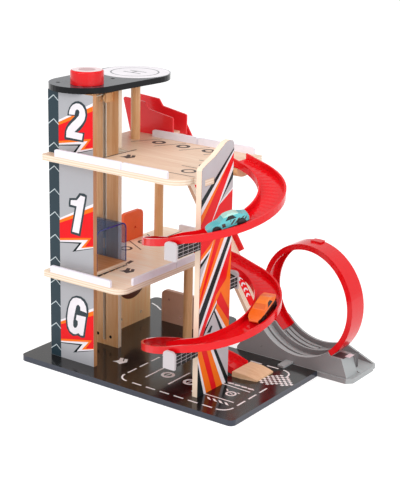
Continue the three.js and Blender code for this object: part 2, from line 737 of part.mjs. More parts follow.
// Lift car: wooden floor, clear canopy and the runner in the slot
function addLiftCar() {
  const bottom = level1Top + CAR_FLOOR_RISE;
  const floorTop = bottom + CAR_FLOOR_THICKNESS;
  const front = shaftFront + 2 * CAR_SIDE_GAP;
  const back = rearWallFront - CAR_SIDE_GAP;
  const plan = outline(rectangle(CAR_FLOOR_LEFT, front, CAR_FLOOR_RIGHT, back, FLOOR_CORNER / 2));
  add("lift_floor", board(plan, bottom, CAR_FLOOR_THICKNESS), WOOD, 0.6);

  const top = floorTop + CANOPY_HEIGHT;
  const outer = outline([
    [front, floorTop], [back, floorTop], [back, top, CANOPY_ROUND], [front, top, CANOPY_ROUND],
  ]);
  const inner = outline([
    [front + CANOPY_WALL, floorTop - OVERRUN], [back - CANOPY_WALL, floorTop - OVERRUN],
    [back - CANOPY_WALL, top - CANOPY_WALL, CANOPY_ROUND - CANOPY_WALL],
    [front + CANOPY_WALL, top - CANOPY_WALL, CANOPY_ROUND - CANOPY_WALL],
  ]);
  const length = CAR_FLOOR_RIGHT - CAR_FLOOR_LEFT;
  const shell = sideBoard(outer, CAR_FLOOR_LEFT, length);
  const hollow = sideBoard(inner, CAR_FLOOR_LEFT - OVERRUN, length + 2 * OVERRUN);
  add("lift_canopy", cut(shell, hollow), BLUE_ACRYLIC, 0.1);

  const runnerFoot = floorTop + RUNNER_RISE;
  add("lift_runner", box(
    SLOT_CENTRE - RUNNER_WIDTH / 2, back, runnerFoot,
    SLOT_CENTRE + RUNNER_WIDTH / 2, rearWallBack - CAR_SIDE_GAP, runnerFoot + RUNNER_HEIGHT,
  ), WOOD, 0.6);
}

// Side wall of the ground floor, with a half-round window and two peg holes
function addSideWall() {
  const back = SIDE_WALL_FRONT + SIDE_WALL_DEPTH;
  const face = outline(rectangle(SIDE_WALL_FRONT + GAP, baseTop, back, level1Bottom));
  const wall = sideBoard(face, SIDE_WALL_LEFT, PANEL);
  const foot = baseTop + SIDE_WINDOW_FOOT;
  const windowShape = outline([
    [SIDE_WINDOW_FRONT, foot], [SIDE_WINDOW_FRONT + SIDE_WINDOW_WIDTH, foot],
    [SIDE_WINDOW_FRONT + SIDE_WINDOW_WIDTH, foot + SIDE_WINDOW_HEIGHT, SIDE_WINDOW_HEIGHT - GAP],
    [SIDE_WINDOW_FRONT, foot + SIDE_WINDOW_HEIGHT, SIDE_WINDOW_HEIGHT - GAP],
  ]);
  const opening = sideBoard(windowShape, SIDE_WALL_LEFT - OVERRUN, PANEL + 2 * OVERRUN);
  const holes = SIDE_PEG_PLACES.map((y) => crossBar(
    2 * OVERRUN, PEG_HOLE, [SIDE_WALL_LEFT, SIDE_WALL_FRONT + y, baseTop + SIDE_PEG_RISE], HOLE_SIDES,
  ));
  add("side_wall_ground", cut(wall, opening, ...holes), WOOD, 0.6);
}

// Low painted walls with their peg holes
function addLowWalls() {
  const right = LOW_WALL_LEFT + LOW_WALL_WIDTH;
  const corners = [
    [LOW_WALL_LEFT, baseTop], [right, baseTop], [right, baseTop + LOW_WALL_HEIGHT, WALL_ROUND],
    [LOW_WALL_LEFT, baseTop + LOW_WALL_HEIGHT, WALL_ROUND],
  ];
  const holes = LOW_WALL_PEGS.map(([x, z]) => deepBar(
    2 * OVERRUN, PEG_HOLE, [LOW_WALL_LEFT + x, LOW_WALL_FRONT, baseTop + z], HOLE_SIDES,
  ));
  const lower = cut(frontBoard(outline(corners), LOW_WALL_FRONT, PANEL), ...holes);
  add("back_wall_ground", lower, MAUVE_PAINT, 0.6);

  const top = level1Top + UPPER_WALL_HEIGHT;
  const back = UPPER_WALL_FRONT + UPPER_WALL_DEPTH;
  const shape = outline([
    [UPPER_WALL_FRONT, level1Top], [back, level1Top], [back, top, WALL_ROUND],
    [UPPER_WALL_FRONT, top, WALL_ROUND],
  ]);
  const [pegY, pegZ] = UPPER_WALL_PEG;
  const hole = crossBar(
    2 * OVERRUN, PEG_HOLE, [FLOOR_LEFT, UPPER_WALL_FRONT + pegY, level1Top + pegZ], HOLE_SIDES,
  );
  const upper = cut(sideBoard(shape, FLOOR_LEFT, UPPER_WALL_THICKNESS), hole);
  add("side_wall_level_1", upper, RUST_PAINT, 0.5);
}

// Tall wedge panel with the mortise for the tenon of the second floor
function addWedgePanel() {
  const shares = [[0, 0], ...WEDGE_TOP_SHARES, [1, 0]].reverse();
  const height = level2Top + WEDGE_ABOVE_LEVEL_2 - baseTop;
  const shape = shareOutline(shares, WEDGE_FRONT, baseTop, WEDGE_DEPTH, height);
  const mortise = box(
    WEDGE_LEFT - OVERRUN, TENON_FRONT - GAP, level2Bottom - GAP,
    WEDGE_LEFT + BOARD + OVERRUN, TENON_BACK + GAP, level2Top + GAP,
  );
  add("wedge_panel", cut(sideBoard(shape, WEDGE_LEFT, BOARD), mortise), WOOD, 0.5);
}

// Arc length of a half ellipse of the spiral, by short chords
function halfTurnTable() {
  const table = [0];
  for (let i = 1; i <= ELLIPSE_SAMPLES; i += 1) {
    const a = Math.PI * (i - 1) / ELLIPSE_SAMPLES;
    const b = Math.PI * i / ELLIPSE_SAMPLES;
    const dx = SPIRAL_HALF_WIDTH * (Math.sin(b) - Math.sin(a));
    const dy = SPIRAL_HALF_DEPTH * (Math.cos(b) - Math.cos(a));
    table.push(table[i - 1] + Math.hypot(dx, dy));
  }
  return table;
}

const turnTable = halfTurnTable();
const halfTurn = turnTable.at(-1);
const straight = SPIRAL_RIGHT_TURN - SPIRAL_LEFT_TURN;
const fullTurn = 2 * (halfTurn + straight);
const lead = SPIRAL_RIGHT_TURN - LEVEL_2_RIGHT;
const spiralLength = lead + 2 * fullTurn - straight + (SPIRAL_END - SPIRAL_LEFT_TURN);
const spiralStart = level2Top + SPIRAL_START_GAP;
const spiralDrop = spiralStart - (baseTop + GAP);

// Angle round a half ellipse at an arc length
function turnAngle(length) {
  const last = turnTable.length - 1;
  let i = turnTable.findIndex((value) => value >= length);
  if (i < 0) i = last;
  if (i === 0) i = 1;
  const share = (length - turnTable[i - 1]) / (turnTable[i] - turnTable[i - 1]);
  return Math.PI * (i - 1 + share) / last;
}

// Point, heading and height of the channel's underside at a distance down the spiral
function spiralAt(distance) {
  const z = spiralStart - spiralDrop * distance / spiralLength;
  let along = distance - lead;
  if (along < 0) return { x: LEVEL_2_RIGHT + distance, y: SPIRAL_CENTRE + SPIRAL_HALF_DEPTH, heading: 0, z };
  along %= fullTurn;
  if (along <= halfTurn) {
    const angle = turnAngle(along);
    return {
      x: SPIRAL_RIGHT_TURN + SPIRAL_HALF_WIDTH * Math.sin(angle),
      y: SPIRAL_CENTRE + SPIRAL_HALF_DEPTH * Math.cos(angle),
      heading: Math.atan2(-SPIRAL_HALF_DEPTH * Math.sin(angle), SPIRAL_HALF_WIDTH * Math.cos(angle)),
      z,
    };
  }
  along -= halfTurn;
  if (along <= straight) {
    return { x: SPIRAL_RIGHT_TURN - along, y: SPIRAL_CENTRE - SPIRAL_HALF_DEPTH, heading: Math.PI, z };
  }
  along -= straight;
  if (along <= halfTurn) {
    const angle = turnAngle(along);
    return {
      x: SPIRAL_LEFT_TURN - SPIRAL_HALF_WIDTH * Math.sin(angle),
      y: SPIRAL_CENTRE - SPIRAL_HALF_DEPTH * Math.cos(angle),
      heading: Math.atan2(SPIRAL_HALF_DEPTH * Math.sin(angle), -SPIRAL_HALF_WIDTH * Math.cos(angle)),
      z,
    };
  }
  along -= halfTurn;
  return { x: SPIRAL_LEFT_TURN + along, y: SPIRAL_CENTRE + SPIRAL_HALF_DEPTH, heading: 0, z };
}

// Open channel section: a floor between two walls, standing on its underside
function channelSection(width, height, wall, floor) {
  const half = width / 2;
  return new THREE.Shape([
    [-half, 0], [half, 0], [half, height], [half - wall, height],
    [half - wall, floor], [wall - half, floor], [wall - half, height], [-half, height],
  ].map(([x, y]) => new THREE.Vector2(x, y)));
}

// Bends a straight extrusion: each point (across, up, along) goes where the route puts it
function bend(geometry, route) {
  const position = geometry.getAttribute("position");
  for (let i = 0; i < position.count; i += 1) {
    const [x, y, z] = route(position.getX(i), position.getY(i), position.getZ(i));
    position.setXYZ(i, x, y, z);
  }
  geometry.computeVertexNormals();
  return geometry;
}

// One length of the spiral between two distances
function spiralPiece(from, to) {
  const section = channelSection(CHANNEL_WIDTH, CHANNEL_HEIGHT, CHANNEL_WALL, CHANNEL_FLOOR);
  const steps = Math.max(Math.round(TURN_STEPS * (to - from) / halfTurn), 3);
  const straightPiece = new THREE.ExtrudeGeometry(section, { depth: to - from, steps, bevelEnabled: false });
  return bend(straightPiece, (across, up, along) => {
    const { x, y, heading, z } = spiralAt(from + along);
    return [x - across * Math.sin(heading), y + across * Math.cos(heading), z + up];
  });
}

// Distances where the lengths of the spiral meet, each over a bracket
const firstJoint = lead + halfTurn + SPIRAL_RIGHT_TURN - SPIRAL_JOINT;
const spiralJoints = [
  0,
  firstJoint,
  lead + fullTurn - SPIRAL_RIGHT_TURN + SPIRAL_JOINT,
  firstJoint + fullTurn,
  spiralLength,
];

// Spiral ramp in four lengths
function addSpiral() {
  for (let i = 0; i + 1 < spiralJoints.length; i += 1) {
    add("spiral_ramp_" + (i + 1), spiralPiece(spiralJoints[i], spiralJoints[i + 1]), RED_PLASTIC, 0.3);
  }
}

// Underside height of the spiral at a distance down its route
function undersideAt(distance) {
  return spiralStart - spiralDrop * distance / spiralLength;
}

// Wooden rest under the start of the spiral: a block with a half-round foot
function addSpiralRest() {
  const top = undersideAt(REST_WIDTH) - GAP;
  const shape = new THREE.Shape([new THREE.Vector2(REST_FRONT, top)]);
  for (let step = 0; step <= REST_STEPS; step += 1) {
    const angle = Math.PI * (1 + step / REST_STEPS);
    shape.lineTo(
      REST_FRONT + REST_DEPTH / 2 * (1 + Math.cos(angle)), level2Bottom + REST_DROP / 2 * Math.sin(angle),
    );
  }
  shape.lineTo(REST_FRONT + REST_DEPTH, top);
  add("spiral_rest", sideBoard(shape, LEVEL_2_RIGHT, REST_WIDTH), WOOD, 0.6);
}

// Run-out at the foot of the spiral: a low hump that falls away in a curve, narrower at its tip
function addRunout() {
  const tip = SPIRAL_END + RUNOUT_LENGTH;
  const top = baseTop + RUNOUT_HEIGHT;
  const hump = new THREE.Shape();
  hump.moveTo(SPIRAL_END + GAP, baseTop);
  hump.lineTo(tip, baseTop);
  hump.lineTo(tip, baseTop + RUNOUT_TIP_HEIGHT);
  hump.quadraticCurveTo(SPIRAL_END + RUNOUT_BEND, top, SPIRAL_END + RUNOUT_FLAT, top);
  hump.lineTo(SPIRAL_END + GAP, top);
  const plan = new THREE.Shape([
    [SPIRAL_END, RUNOUT_FRONT], [SPIRAL_END + RUNOUT_FLAT, RUNOUT_FRONT],
    [tip + GAP, RUNOUT_FRONT + RUNOUT_TIP_INSET], [tip + GAP, RUNOUT_FRONT + RUNOUT_WIDTH],
    [SPIRAL_END, RUNOUT_FRONT + RUNOUT_WIDTH],
  ].map(([x, y]) => new THREE.Vector2(x, y)));
  const block = frontBoard(hump, RUNOUT_FRONT - OVERRUN, RUNOUT_WIDTH + 2 * OVERRUN);
  add("runout_ramp", common(block, board(plan, 0, top + OVERRUN)), WOOD, 0.55);
}

// Arm of a bracket, whose top slopes with the straight of the spiral above it
function bracketArm(distanceAtLeft, slopeSign, front, back) {
  const right = BRACKET_LEFT + BRACKET_WIDTH;
  const leftTop = undersideAt(distanceAtLeft) - GAP;
  const rightTop = leftTop + slopeSign * spiralDrop / spiralLength * BRACKET_WIDTH;
  const bottom = Math.min(leftTop, rightTop) - BRACKET_ARM + LIP_BELOW / 2;
  const face = new THREE.Shape([
    [BRACKET_LEFT, bottom], [right, bottom], [right, rightTop], [BRACKET_LEFT, leftTop],
  ].map(([x, z]) => new THREE.Vector2(x, z)));
  return { arm: frontBoard(face, front, back - front), bottom };
}

// The grey upright lip of a bracket
function lip(name, y, bottom) {
  const right = BRACKET_LEFT + BRACKET_WIDTH;
  const shape = outline([
    [BRACKET_LEFT, bottom], [right, bottom], [right, bottom + LIP_HEIGHT, LIP_ROUND],
    [BRACKET_LEFT, bottom + LIP_HEIGHT, LIP_ROUND],
  ]);
  add(name, frontBoard(shape, y, LIP_THICKNESS), GREY_PLASTIC, 0.4);
}

// The three brackets
function addBrackets() {
  const passes = [["bracket_upper", 0], ["bracket_lower", fullTurn]];
  for (const [name, extra] of passes) {
    const distance = lead + halfTurn + (SPIRAL_RIGHT_TURN - BRACKET_LEFT) + extra;
    const bracket = bracketArm(distance, 1, BRACKET_TIP, WEDGE_FRONT - GAP);
    const grip = box(
      BRACKET_LEFT, WEDGE_FRONT - OVERRUN, bracket.bottom,
      WEDGE_LEFT - GAP, WEDGE_FRONT + BRACKET_GRIP, bracket.bottom + BRACKET_ARM - LIP_BELOW / 2,
    );
    add(name, join(bracket.arm, grip), BLACK, 0.45);
    lip(name + "_lip", BRACKET_TIP - LIP_THICKNESS, bracket.bottom - LIP_BELOW);
  }
  const distance = lead + fullTurn - (SPIRAL_RIGHT_TURN - BRACKET_LEFT);
  const edge = WEDGE_FRONT + WEDGE_DEPTH;
  const back = bracketArm(distance, -1, edge + GAP, BRACKET_BACK_TIP);
  const grip = box(
    BRACKET_LEFT, edge - BRACKET_GRIP / 2, back.bottom,
    WEDGE_LEFT - GAP, BRACKET_BACK_TIP, back.bottom + BRACKET_ARM - LIP_BELOW / 2,
  );
  add("bracket_back", join(back.arm, grip), BLACK, 0.45);
  lip("bracket_back_lip", BRACKET_BACK_TIP, back.bottom - LIP_BELOW);
}

// Launcher: two shaped cheeks and a wooden floor
function addLauncher() {
  const corners = CHEEK_SHARES.map(([u, v]) => [
    LAUNCH_LEFT + u * LAUNCH_LENGTH, level2Top + v * LAUNCH_HEIGHT, v > 0 ? CHEEK_ROUND : 0,
  ]);
  const back = LAUNCH_FRONT + LAUNCH_WIDTH;
  const front = frontBoard(outline(corners), LAUNCH_FRONT, CHEEK);
  add("launcher_cheek_front", front, RED_PLASTIC, 0.35);
  add("launcher_cheek_back", frontBoard(outline(corners), back - CHEEK, CHEEK), RED_PLASTIC, 0.35);
  add("launcher_floor", box(
    LAUNCH_LEFT + CHEEK, LAUNCH_FRONT + CHEEK, level2Top,
    PLANK_START - GAP, back - CHEEK, level2Top + LAUNCH_FLOOR,
  ), WOOD, 0.6);
}

// Outline in X and Z of a slat on the slope of the launch ramp, between two heights above its surface
function slopeOutline(from, to, foot, head) {
  const slope = THREE.MathUtils.degToRad(PLANK_ANGLE);
  const surface = (x) => level2Top - Math.tan(slope) * (x - PLANK_START);
  const rise = (height) => height / Math.cos(slope);
  const lean = (height) => height * Math.sin(slope);
  return new THREE.Shape([
    [from, surface(from) + rise(foot)],
    [to + lean(foot), surface(to + lean(foot)) + rise(foot)],
    [to + lean(head), surface(to + lean(head)) + rise(head)],
    [from, surface(from) + rise(head)],
  ].map(([x, z]) => new THREE.Vector2(x, z)));
}

// Steep launch ramp from the second floor down into the cradle, with its guard on the far side
function addPlank() {
  const start = PLANK_START + GAP;
  const plank = slopeOutline(start, PLANK_START + PLANK_RUN, -PLANK_THICKNESS, 0);
  add("launch_ramp", frontBoard(plank, PLANK_FRONT, PLANK_WIDTH), WOOD, 0.55);
  const guard = slopeOutline(start, start + PLANK_RAIL_RUN, -PLANK_THICKNESS, PLANK_RAIL_HEIGHT);
  const behind = PLANK_FRONT + PLANK_WIDTH;
  add("launch_ramp_rail", frontBoard(guard, behind, PLANK_RAIL_THICKNESS), RED_PLASTIC, 0.35);
}

// Side shift of the loop between its two lanes at an angle round it
function loopLane(angle) {
  const share = (angle - LOOP_START_ANGLE) / (LOOP_END_ANGLE - LOOP_START_ANGLE);
  const smooth = share - Math.sin(2 * Math.PI * share) / (2 * Math.PI);
  return LOOP_FRONT_LANE + (LOOP_REAR_LANE - LOOP_FRONT_LANE) * smooth;
}

// One length of the loop track between two angles
function loopPiece(from, to) {
  const section = channelSection(LOOP_WIDTH, LOOP_HEIGHT, LOOP_WALL, LOOP_FLOOR);
  const piece = new THREE.ExtrudeGeometry(section, {
    depth: to - from, steps: LOOP_STEPS, bevelEnabled: false,
  });
  return bend(piece, (across, up, along) => {
    const angle = THREE.MathUtils.degToRad(from + along);
    const radius = LOOP_RADIUS - up;
    return [
      loopX + radius * Math.cos(angle), loopLane(from + along) + across, LOOP_Z + radius * Math.sin(angle),
    ];
  });
}

// Points on an arc round the loop's centre in X and Z, between two angles
function arcPoints(radius, from, to) {
  return Array.from({ length: CRADLE_ARC_STEPS + 1 }, (_, step) => {
    const angle = THREE.MathUtils.degToRad(from + (to - from) * step / CRADLE_ARC_STEPS);
    return new THREE.Vector2(loopX + radius * Math.cos(angle), LOOP_Z + radius * Math.sin(angle));
  });
}

// Ring sector in X and Z round the loop's centre, between two radii and two angles
function ringSector(inner, outer, from, to) {
  return new THREE.Shape([...arcPoints(outer, from, to), ...arcPoints(inner, to, from)]);
}

// Loop track in two lengths; the left one carries the clip over their joint at the top
function addLoop() {
  const right = loopPiece(LOOP_START_ANGLE, LOOP_JOINT_ANGLE);
  add("loop_track_right", right, RED_PLASTIC, 0.3);
  const outer = LOOP_RADIUS + CLIP_HEIGHT;
  const back = loopLane(LOOP_JOINT_ANGLE) + LOOP_WIDTH / 2 - LOOP_WALL;
  const onLeft = ringSector(LOOP_RADIUS - GAP, outer, LOOP_JOINT_ANGLE, LOOP_JOINT_ANGLE + CLIP_ANGLE);
  const overRight = ringSector(laneRadius, outer, LOOP_JOINT_ANGLE - CLIP_ANGLE, LOOP_JOINT_ANGLE);
  const clip = join(
    frontBoard(onLeft, back - CLIP_WIDTH, CLIP_WIDTH), frontBoard(overRight, back - CLIP_WIDTH, CLIP_WIDTH),
  );
  add("loop_track_left", join(loopPiece(LOOP_JOINT_ANGLE, LOOP_END_ANGLE), clip), RED_PLASTIC, 0.3);
}

// A round bore along Y through the cradle, centred on the loop, between two depths
function cradleBore(radius, [front, back]) {
  return deepBar(back - front, 2 * radius, [loopX, (front + back) / 2, LOOP_Z], CRADLE_SIDES);
}

// The cradle's outer form before its lanes are cut: the front part holds the block at the foot of
// the loop, the rear part falls away to the flange
function cradleBody() {
  const left = loopX - CRADLE_TIP[0];
  const right = loopX + CRADLE_RIGHT - CRADLE_WALL_INSET;
  const foot = loopX + CRADLE_BLOCK_FOOT;
  const shoulder = [loopX - CRADLE_SHOULDER[0], CRADLE_SHOULDER[1], CRADLE_SHOULDER_ROUND];
  const front = outline([
    [left, 0], [foot, 0], [foot, CRADLE_FLANGE],
    [loopX + CRADLE_BLOCK_TOP, CRADLE_BLOCK_HEIGHT, CRADLE_BLOCK_ROUND],
    [loopX + CRADLE_BLOCK_LEFT, CRADLE_BLOCK_HEIGHT],
    [loopX + CRADLE_FRONT_PEAK[0], CRADLE_FRONT_PEAK[1]], [loopX, CRADLE_FRONT_PEAK[1]],
    shoulder, [left, CRADLE_TIP[1]],
  ]);
  const rear = outline([
    [left, 0], [right, 0], [right, CRADLE_FLANGE],
    [loopX + CRADLE_REAR_PEAK[0], CRADLE_REAR_PEAK[1]], [loopX, CRADLE_REAR_PEAK[1]],
    shoulder, [left, CRADLE_TIP[1]],
  ]);
  const wallFront = CRADLE_FRONT + CRADLE_WALL_INSET;
  const wallBack = CRADLE_FRONT + CRADLE_DEPTH - CRADLE_WALL_INSET;
  return join(
    frontBoard(front, wallFront, CRADLE_BLOCK_BACK - wallFront),
    frontBoard(rear, CRADLE_BLOCK_BACK, wallBack - CRADLE_BLOCK_BACK),
  );
}

// Wheel ridges on the floors of the two lanes, level with the floor of the track
function cradleRidges() {
  const rearStart = LOOP_END_ANGLE - TURN + CRADLE_FOOT_CLEAR;
  const lanes = [
    [CRADLE_FRONT_RIDGES, CRADLE_LANE_START, CRADLE_LANE_END],
    [CRADLE_REAR_RIDGES, rearStart, CRADLE_EXIT_ANGLE],
  ];
  return lanes.flatMap(([spans, from, to]) => spans.map(([front, back]) => frontBoard(
    ringSector(laneRadius - CRADLE_RIDGE, laneRadius + GAP, from, to), front, back - front,
  )));
}

// Cells between the ribs under the cradle
function cradleCells() {
  const left = loopX - CRADLE_TIP[0] + CRADLE_WALL;
  const right = loopX + CRADLE_BLOCK_FOOT - CRADLE_WALL;
  const front = CRADLE_FRONT + CRADLE_WALL_INSET + CRADLE_WALL;
  const back = CRADLE_FRONT + CRADLE_DEPTH - CRADLE_WALL_INSET - CRADLE_WALL;
  const ceiling = CRADLE_SHOULDER[1] - CRADLE_WALL;
  const space = frontBoard(outline([
    [left, -OVERRUN], [right, -OVERRUN], [right, CRADLE_FLANGE - CRADLE_WALL],
    [loopX, LOOP_Z - laneRadius - CRADLE_WALL], [loopX, ceiling],
    [loopX - CRADLE_SHOULDER[0] + CRADLE_WALL, ceiling], [left, CRADLE_TIP[1] - CRADLE_WALL],
  ]), front, back - front);
  const pitch = (right - left + CRADLE_RIB) / CRADLE_CELLS;
  const rows = [[front, frontLane[1]], [rearLane[0], back]];
  const cells = [];
  for (let i = 0; i < CRADLE_CELLS; i += 1) {
    const start = left + i * pitch;
    rows.forEach(([near, far]) => {
      cells.push(box(start, near, -OVERRUN, start + pitch - CRADLE_RIB, far, LOOP_Z));
    });
  }
  return common(cut(space, cradleBore(laneRadius + CRADLE_WALL, [front, back])), join(...cells));
}

// Flange round the foot of the cradle, with its right corners cut off
function cradleFlange() {
  const left = loopX - CRADLE_LEFT;
  const right = loopX + CRADLE_RIGHT;
  const back = CRADLE_FRONT + CRADLE_DEPTH;
  const corners = [
    [left, CRADLE_FRONT, FLOOR_CORNER],
    [right - CRADLE_FRONT_CORNER, CRADLE_FRONT, FLOOR_CORNER],
    [right, CRADLE_FRONT + CRADLE_FRONT_CORNER, FLOOR_CORNER],
    [right, back - CRADLE_BACK_CORNER, FLOOR_CORNER],
    [right - CRADLE_BACK_CORNER, back, FLOOR_CORNER],
    [left, back, FLOOR_CORNER],
  ];
  return board(outline(corners), 0, CRADLE_FLANGE);
}

// Cradle of the loop: flange with a tab on the base board, walls and two curved lanes with ridges
function addCradle() {
  const right = loopX + CRADLE_RIGHT;
  const back = CRADLE_FRONT + CRADLE_DEPTH;
  const rim = cradleBore(CRADLE_RIM, [CRADLE_FRONT, back]);
  const exit = frontBoard(outline([
    [loopX, LOOP_Z - laneRadius], [right, CRADLE_FLANGE], [right, LOOP_Z], [loopX, LOOP_Z],
  ]), rearLane[0], rearLane[1] - rearLane[0]);
  const walls = cut(
    cradleBody(), rim, cradleBore(laneRadius, frontLane), cradleBore(laneRadius, rearLane), exit,
  );
  const lug = box(
    loopX + CRADLE_LUG_LEFT, CRADLE_BLOCK_BACK, 0, loopX + CRADLE_LUG_RIGHT, rearLane[0], CRADLE_LUG_TOP,
  );
  const tab = board(outline([
    [TAB_LEFT, TAB_FRONT, TAB_ROUND], [TAB_RIGHT, TAB_FRONT, TAB_ROUND],
    [TAB_RIGHT, frontLane[0]], [TAB_LEFT, frontLane[0]],
  ]), baseTop, TAB_THICKNESS);
  const slot = frontBoard(
    ringSector(CRADLE_RIM, laneRadius + CRADLE_SLOT_DEPTH, CRADLE_SLOT_START, CRADLE_SLOT_END),
    CRADLE_SLOT[0], CRADLE_SLOT[1] - CRADLE_SLOT[0],
  );
  const whole = join(walls, ...cradleRidges(), lug, tab, cradleFlange());
  add("loop_cradle", cut(whole, cradleCells(), slot), GREY_PLASTIC, 0.45);
}

// One wheel pair on its axle
function wheelPair() {
  const reach = CAR_WIDTH - WHEEL_WIDTH;
  const wheels = [-1, 1].map((side) => deepBar(
    WHEEL_WIDTH, WHEEL_DIAMETER, [0, side * reach / 2, 0], WHEEL_SIDES,
  ));
  return join(deepBar(reach, AXLE_DIAMETER, [0, 0, 0], WHEEL_SIDES), ...wheels);
}

// Body of a toy car: what its side, plan and end outlines have in common, with arches and axle holes
function carBody(axles) {
  const half = CAR_WIDTH / 2;
  const left = -CAR_LENGTH / 2;
  const side = frontBoard(
    shareOutline(CAR_SIDE_SHARES, left, CAR_CLEARANCE, CAR_LENGTH, CAR_HEIGHT), -half, CAR_WIDTH,
  );
  const planShares = [...CAR_PLAN_SHARES.map(([u, v]) => [u, -v]), ...CAR_PLAN_SHARES.toReversed()];
  const plan = board(shareOutline(planShares, left, 0, CAR_LENGTH, half), 0, CAR_CLEARANCE + CAR_HEIGHT);
  const endShares = [...CAR_END_SHARES, ...CAR_END_SHARES.toReversed().map(([u, v]) => [-u, v])];
  const end = sideBoard(shareOutline(endShares, 0, CAR_CLEARANCE, half, CAR_HEIGHT), left, CAR_LENGTH);
  const inner = half - WHEEL_WIDTH - GAP;
  const arches = axles.flatMap((x) => [-1, 1].map((hand) => deepBar(
    half, ARCH_DIAMETER, [x, hand * (inner + half / 2), WHEEL_DIAMETER / 2], WHEEL_SIDES,
  )));
  const holes = axles.map((x) => deepBar(CAR_WIDTH, AXLE_HOLE, [x, 0, WHEEL_DIAMETER / 2], WHEEL_SIDES));
  return cut(common(side, plan, end), ...arches, ...holes);
}

// Height of the channel's floor under a point, on the route near a distance
function floorUnder(x, y, near) {
  let nearest = Infinity;
  let height = 0;
  for (let distance = near - CAR_LENGTH; distance <= near + CAR_LENGTH; distance += SEAT_STEP) {
    const here = spiralAt(distance);
    const ahead = Math.abs((x - here.x) * Math.cos(here.heading) + (y - here.y) * Math.sin(here.heading));
    if (ahead < nearest) {
      nearest = ahead;
      height = here.z + CHANNEL_FLOOR;
    }
  }
  return height;
}

// Rise of a car above the channel's floor that keeps all its wheels clear of the twisted floor
function seatRise(place, pitch, distance, axles) {
  const tracks = [CAR_WIDTH / 2, CAR_WIDTH / 2 - WHEEL_WIDTH];
  const rises = axles.flatMap((u) => [...tracks, ...tracks.map((v) => -v)].map((v) => {
    const x = place.x + Math.cos(place.heading) * Math.cos(pitch) * u - Math.sin(place.heading) * v;
    const y = place.y + Math.sin(place.heading) * Math.cos(pitch) * u + Math.cos(place.heading) * v;
    return floorUnder(x, y, distance) - (place.z + CHANNEL_FLOOR - Math.sin(pitch) * u);
  }));
  return Math.max(...rises) + GAP;
}

// A toy car standing in the spiral on its wheels, its nose downhill along its own +X
function addCar(name, colour, distance) {
  const place = spiralAt(distance);
  const pitch = Math.atan(spiralDrop / spiralLength);
  const axles = [CAR_LENGTH / 2 - AXLE_INSET, AXLE_INSET - CAR_LENGTH / 2];
  const rise = CHANNEL_FLOOR + seatRise(place, pitch, distance, axles);
  const car = new THREE.Group();
  car.position.set(place.x, place.y, place.z + rise);
  car.rotation.set(0, 0, place.heading);
  const tilt = new THREE.Group();
  tilt.rotation.y = pitch;
  car.add(tilt);
  part.add(car);
  add(name + "_body", carBody(axles), colour, 0.3, 0, tilt);
  const names = ["_axle_front", "_axle_rear"];
  axles.forEach((x, i) => {
    add(name + names[i], wheelPair().translate(x, 0, WHEEL_DIAMETER / 2), BLACK, 0.6, 0, tilt);
  });
}

addBase();
addTowerPanels();
addRearWall();
addLevel1();
addLevel2();
addRails();
addPosts();
addRoof();
addKnob();
addPulley();
addCord();
addLiftCar();
addSideWall();
addLowWalls();
addWedgePanel();
addSpiral();
addSpiralRest();
addRunout();
addBrackets();
addLauncher();
addPlank();
addLoop();
addCradle();
addCar("teal_car", TEAL_PAINT, lead + halfTurn * TEAL_CAR_PLACE);
addCar("orange_car", ORANGE_PAINT, lead + fullTurn + halfTurn * ORANGE_CAR_PLACE);

export default part;
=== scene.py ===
"""Looks of a toy parking garage: painted plywood, printed panels, moulded ramps and toy cars.

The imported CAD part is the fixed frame. This script gives its pieces their finishes, and adds the
prints and screws that lie on them. Metres, in the frame of the part.
"""

import logging
import math
from collections.abc import Iterable, Sequence
from dataclasses import dataclass, field
from enum import Enum
from typing import Any

import bmesh
import bpy
from mathutils import Matrix, Vector
from mathutils.geometry import tessellate_polygon


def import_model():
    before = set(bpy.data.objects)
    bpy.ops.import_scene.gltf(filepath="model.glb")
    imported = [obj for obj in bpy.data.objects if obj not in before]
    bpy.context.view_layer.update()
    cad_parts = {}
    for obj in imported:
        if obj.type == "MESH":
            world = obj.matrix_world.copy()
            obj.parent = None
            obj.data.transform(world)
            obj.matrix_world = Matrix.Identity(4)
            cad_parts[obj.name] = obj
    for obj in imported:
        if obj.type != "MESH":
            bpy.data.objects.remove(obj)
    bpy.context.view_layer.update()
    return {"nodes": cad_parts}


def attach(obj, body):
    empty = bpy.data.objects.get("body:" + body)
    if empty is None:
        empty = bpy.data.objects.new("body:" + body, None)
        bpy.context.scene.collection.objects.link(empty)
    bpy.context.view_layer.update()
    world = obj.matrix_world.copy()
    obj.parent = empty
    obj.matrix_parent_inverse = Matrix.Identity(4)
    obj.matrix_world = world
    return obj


LOG = logging.getLogger("garage")
MM = 0.001
BASE_WIDTH = 403.0
BASE_DEPTH = 350.0
COAT_IOR = 1.5
ACRYLIC_IOR = 1.49
RGBA = {"data_type": "RGBA"}

Point = tuple[float, float]
Box = tuple[float, float, float, float]
Colour = tuple[float, float, float, float]


def linear(code: str) -> Colour:
    """Turns an sRGB hex colour into a linear one.

    Args:
        code: six hex digits.

    Returns:
        Red, green, blue and alpha for a shader socket.
    """
    values = (int(code[i:i + 2], 16) / 255 for i in (0, 2, 4))
    red, green, blue = (v / 12.92 if v <= 0.04045 else ((v + 0.055) / 1.055) ** 2.4 for v in values)
    return (red, green, blue, 1.0)


def scale_for(size_mm: float) -> float:
    """Returns the texture scale at which a pattern has this size in millimetres."""
    return 1 / (size_mm * MM)


class Axis(Enum):
    """Axis of the frame, with its place in a vector."""

    X = 0
    Y = 1
    Z = 2


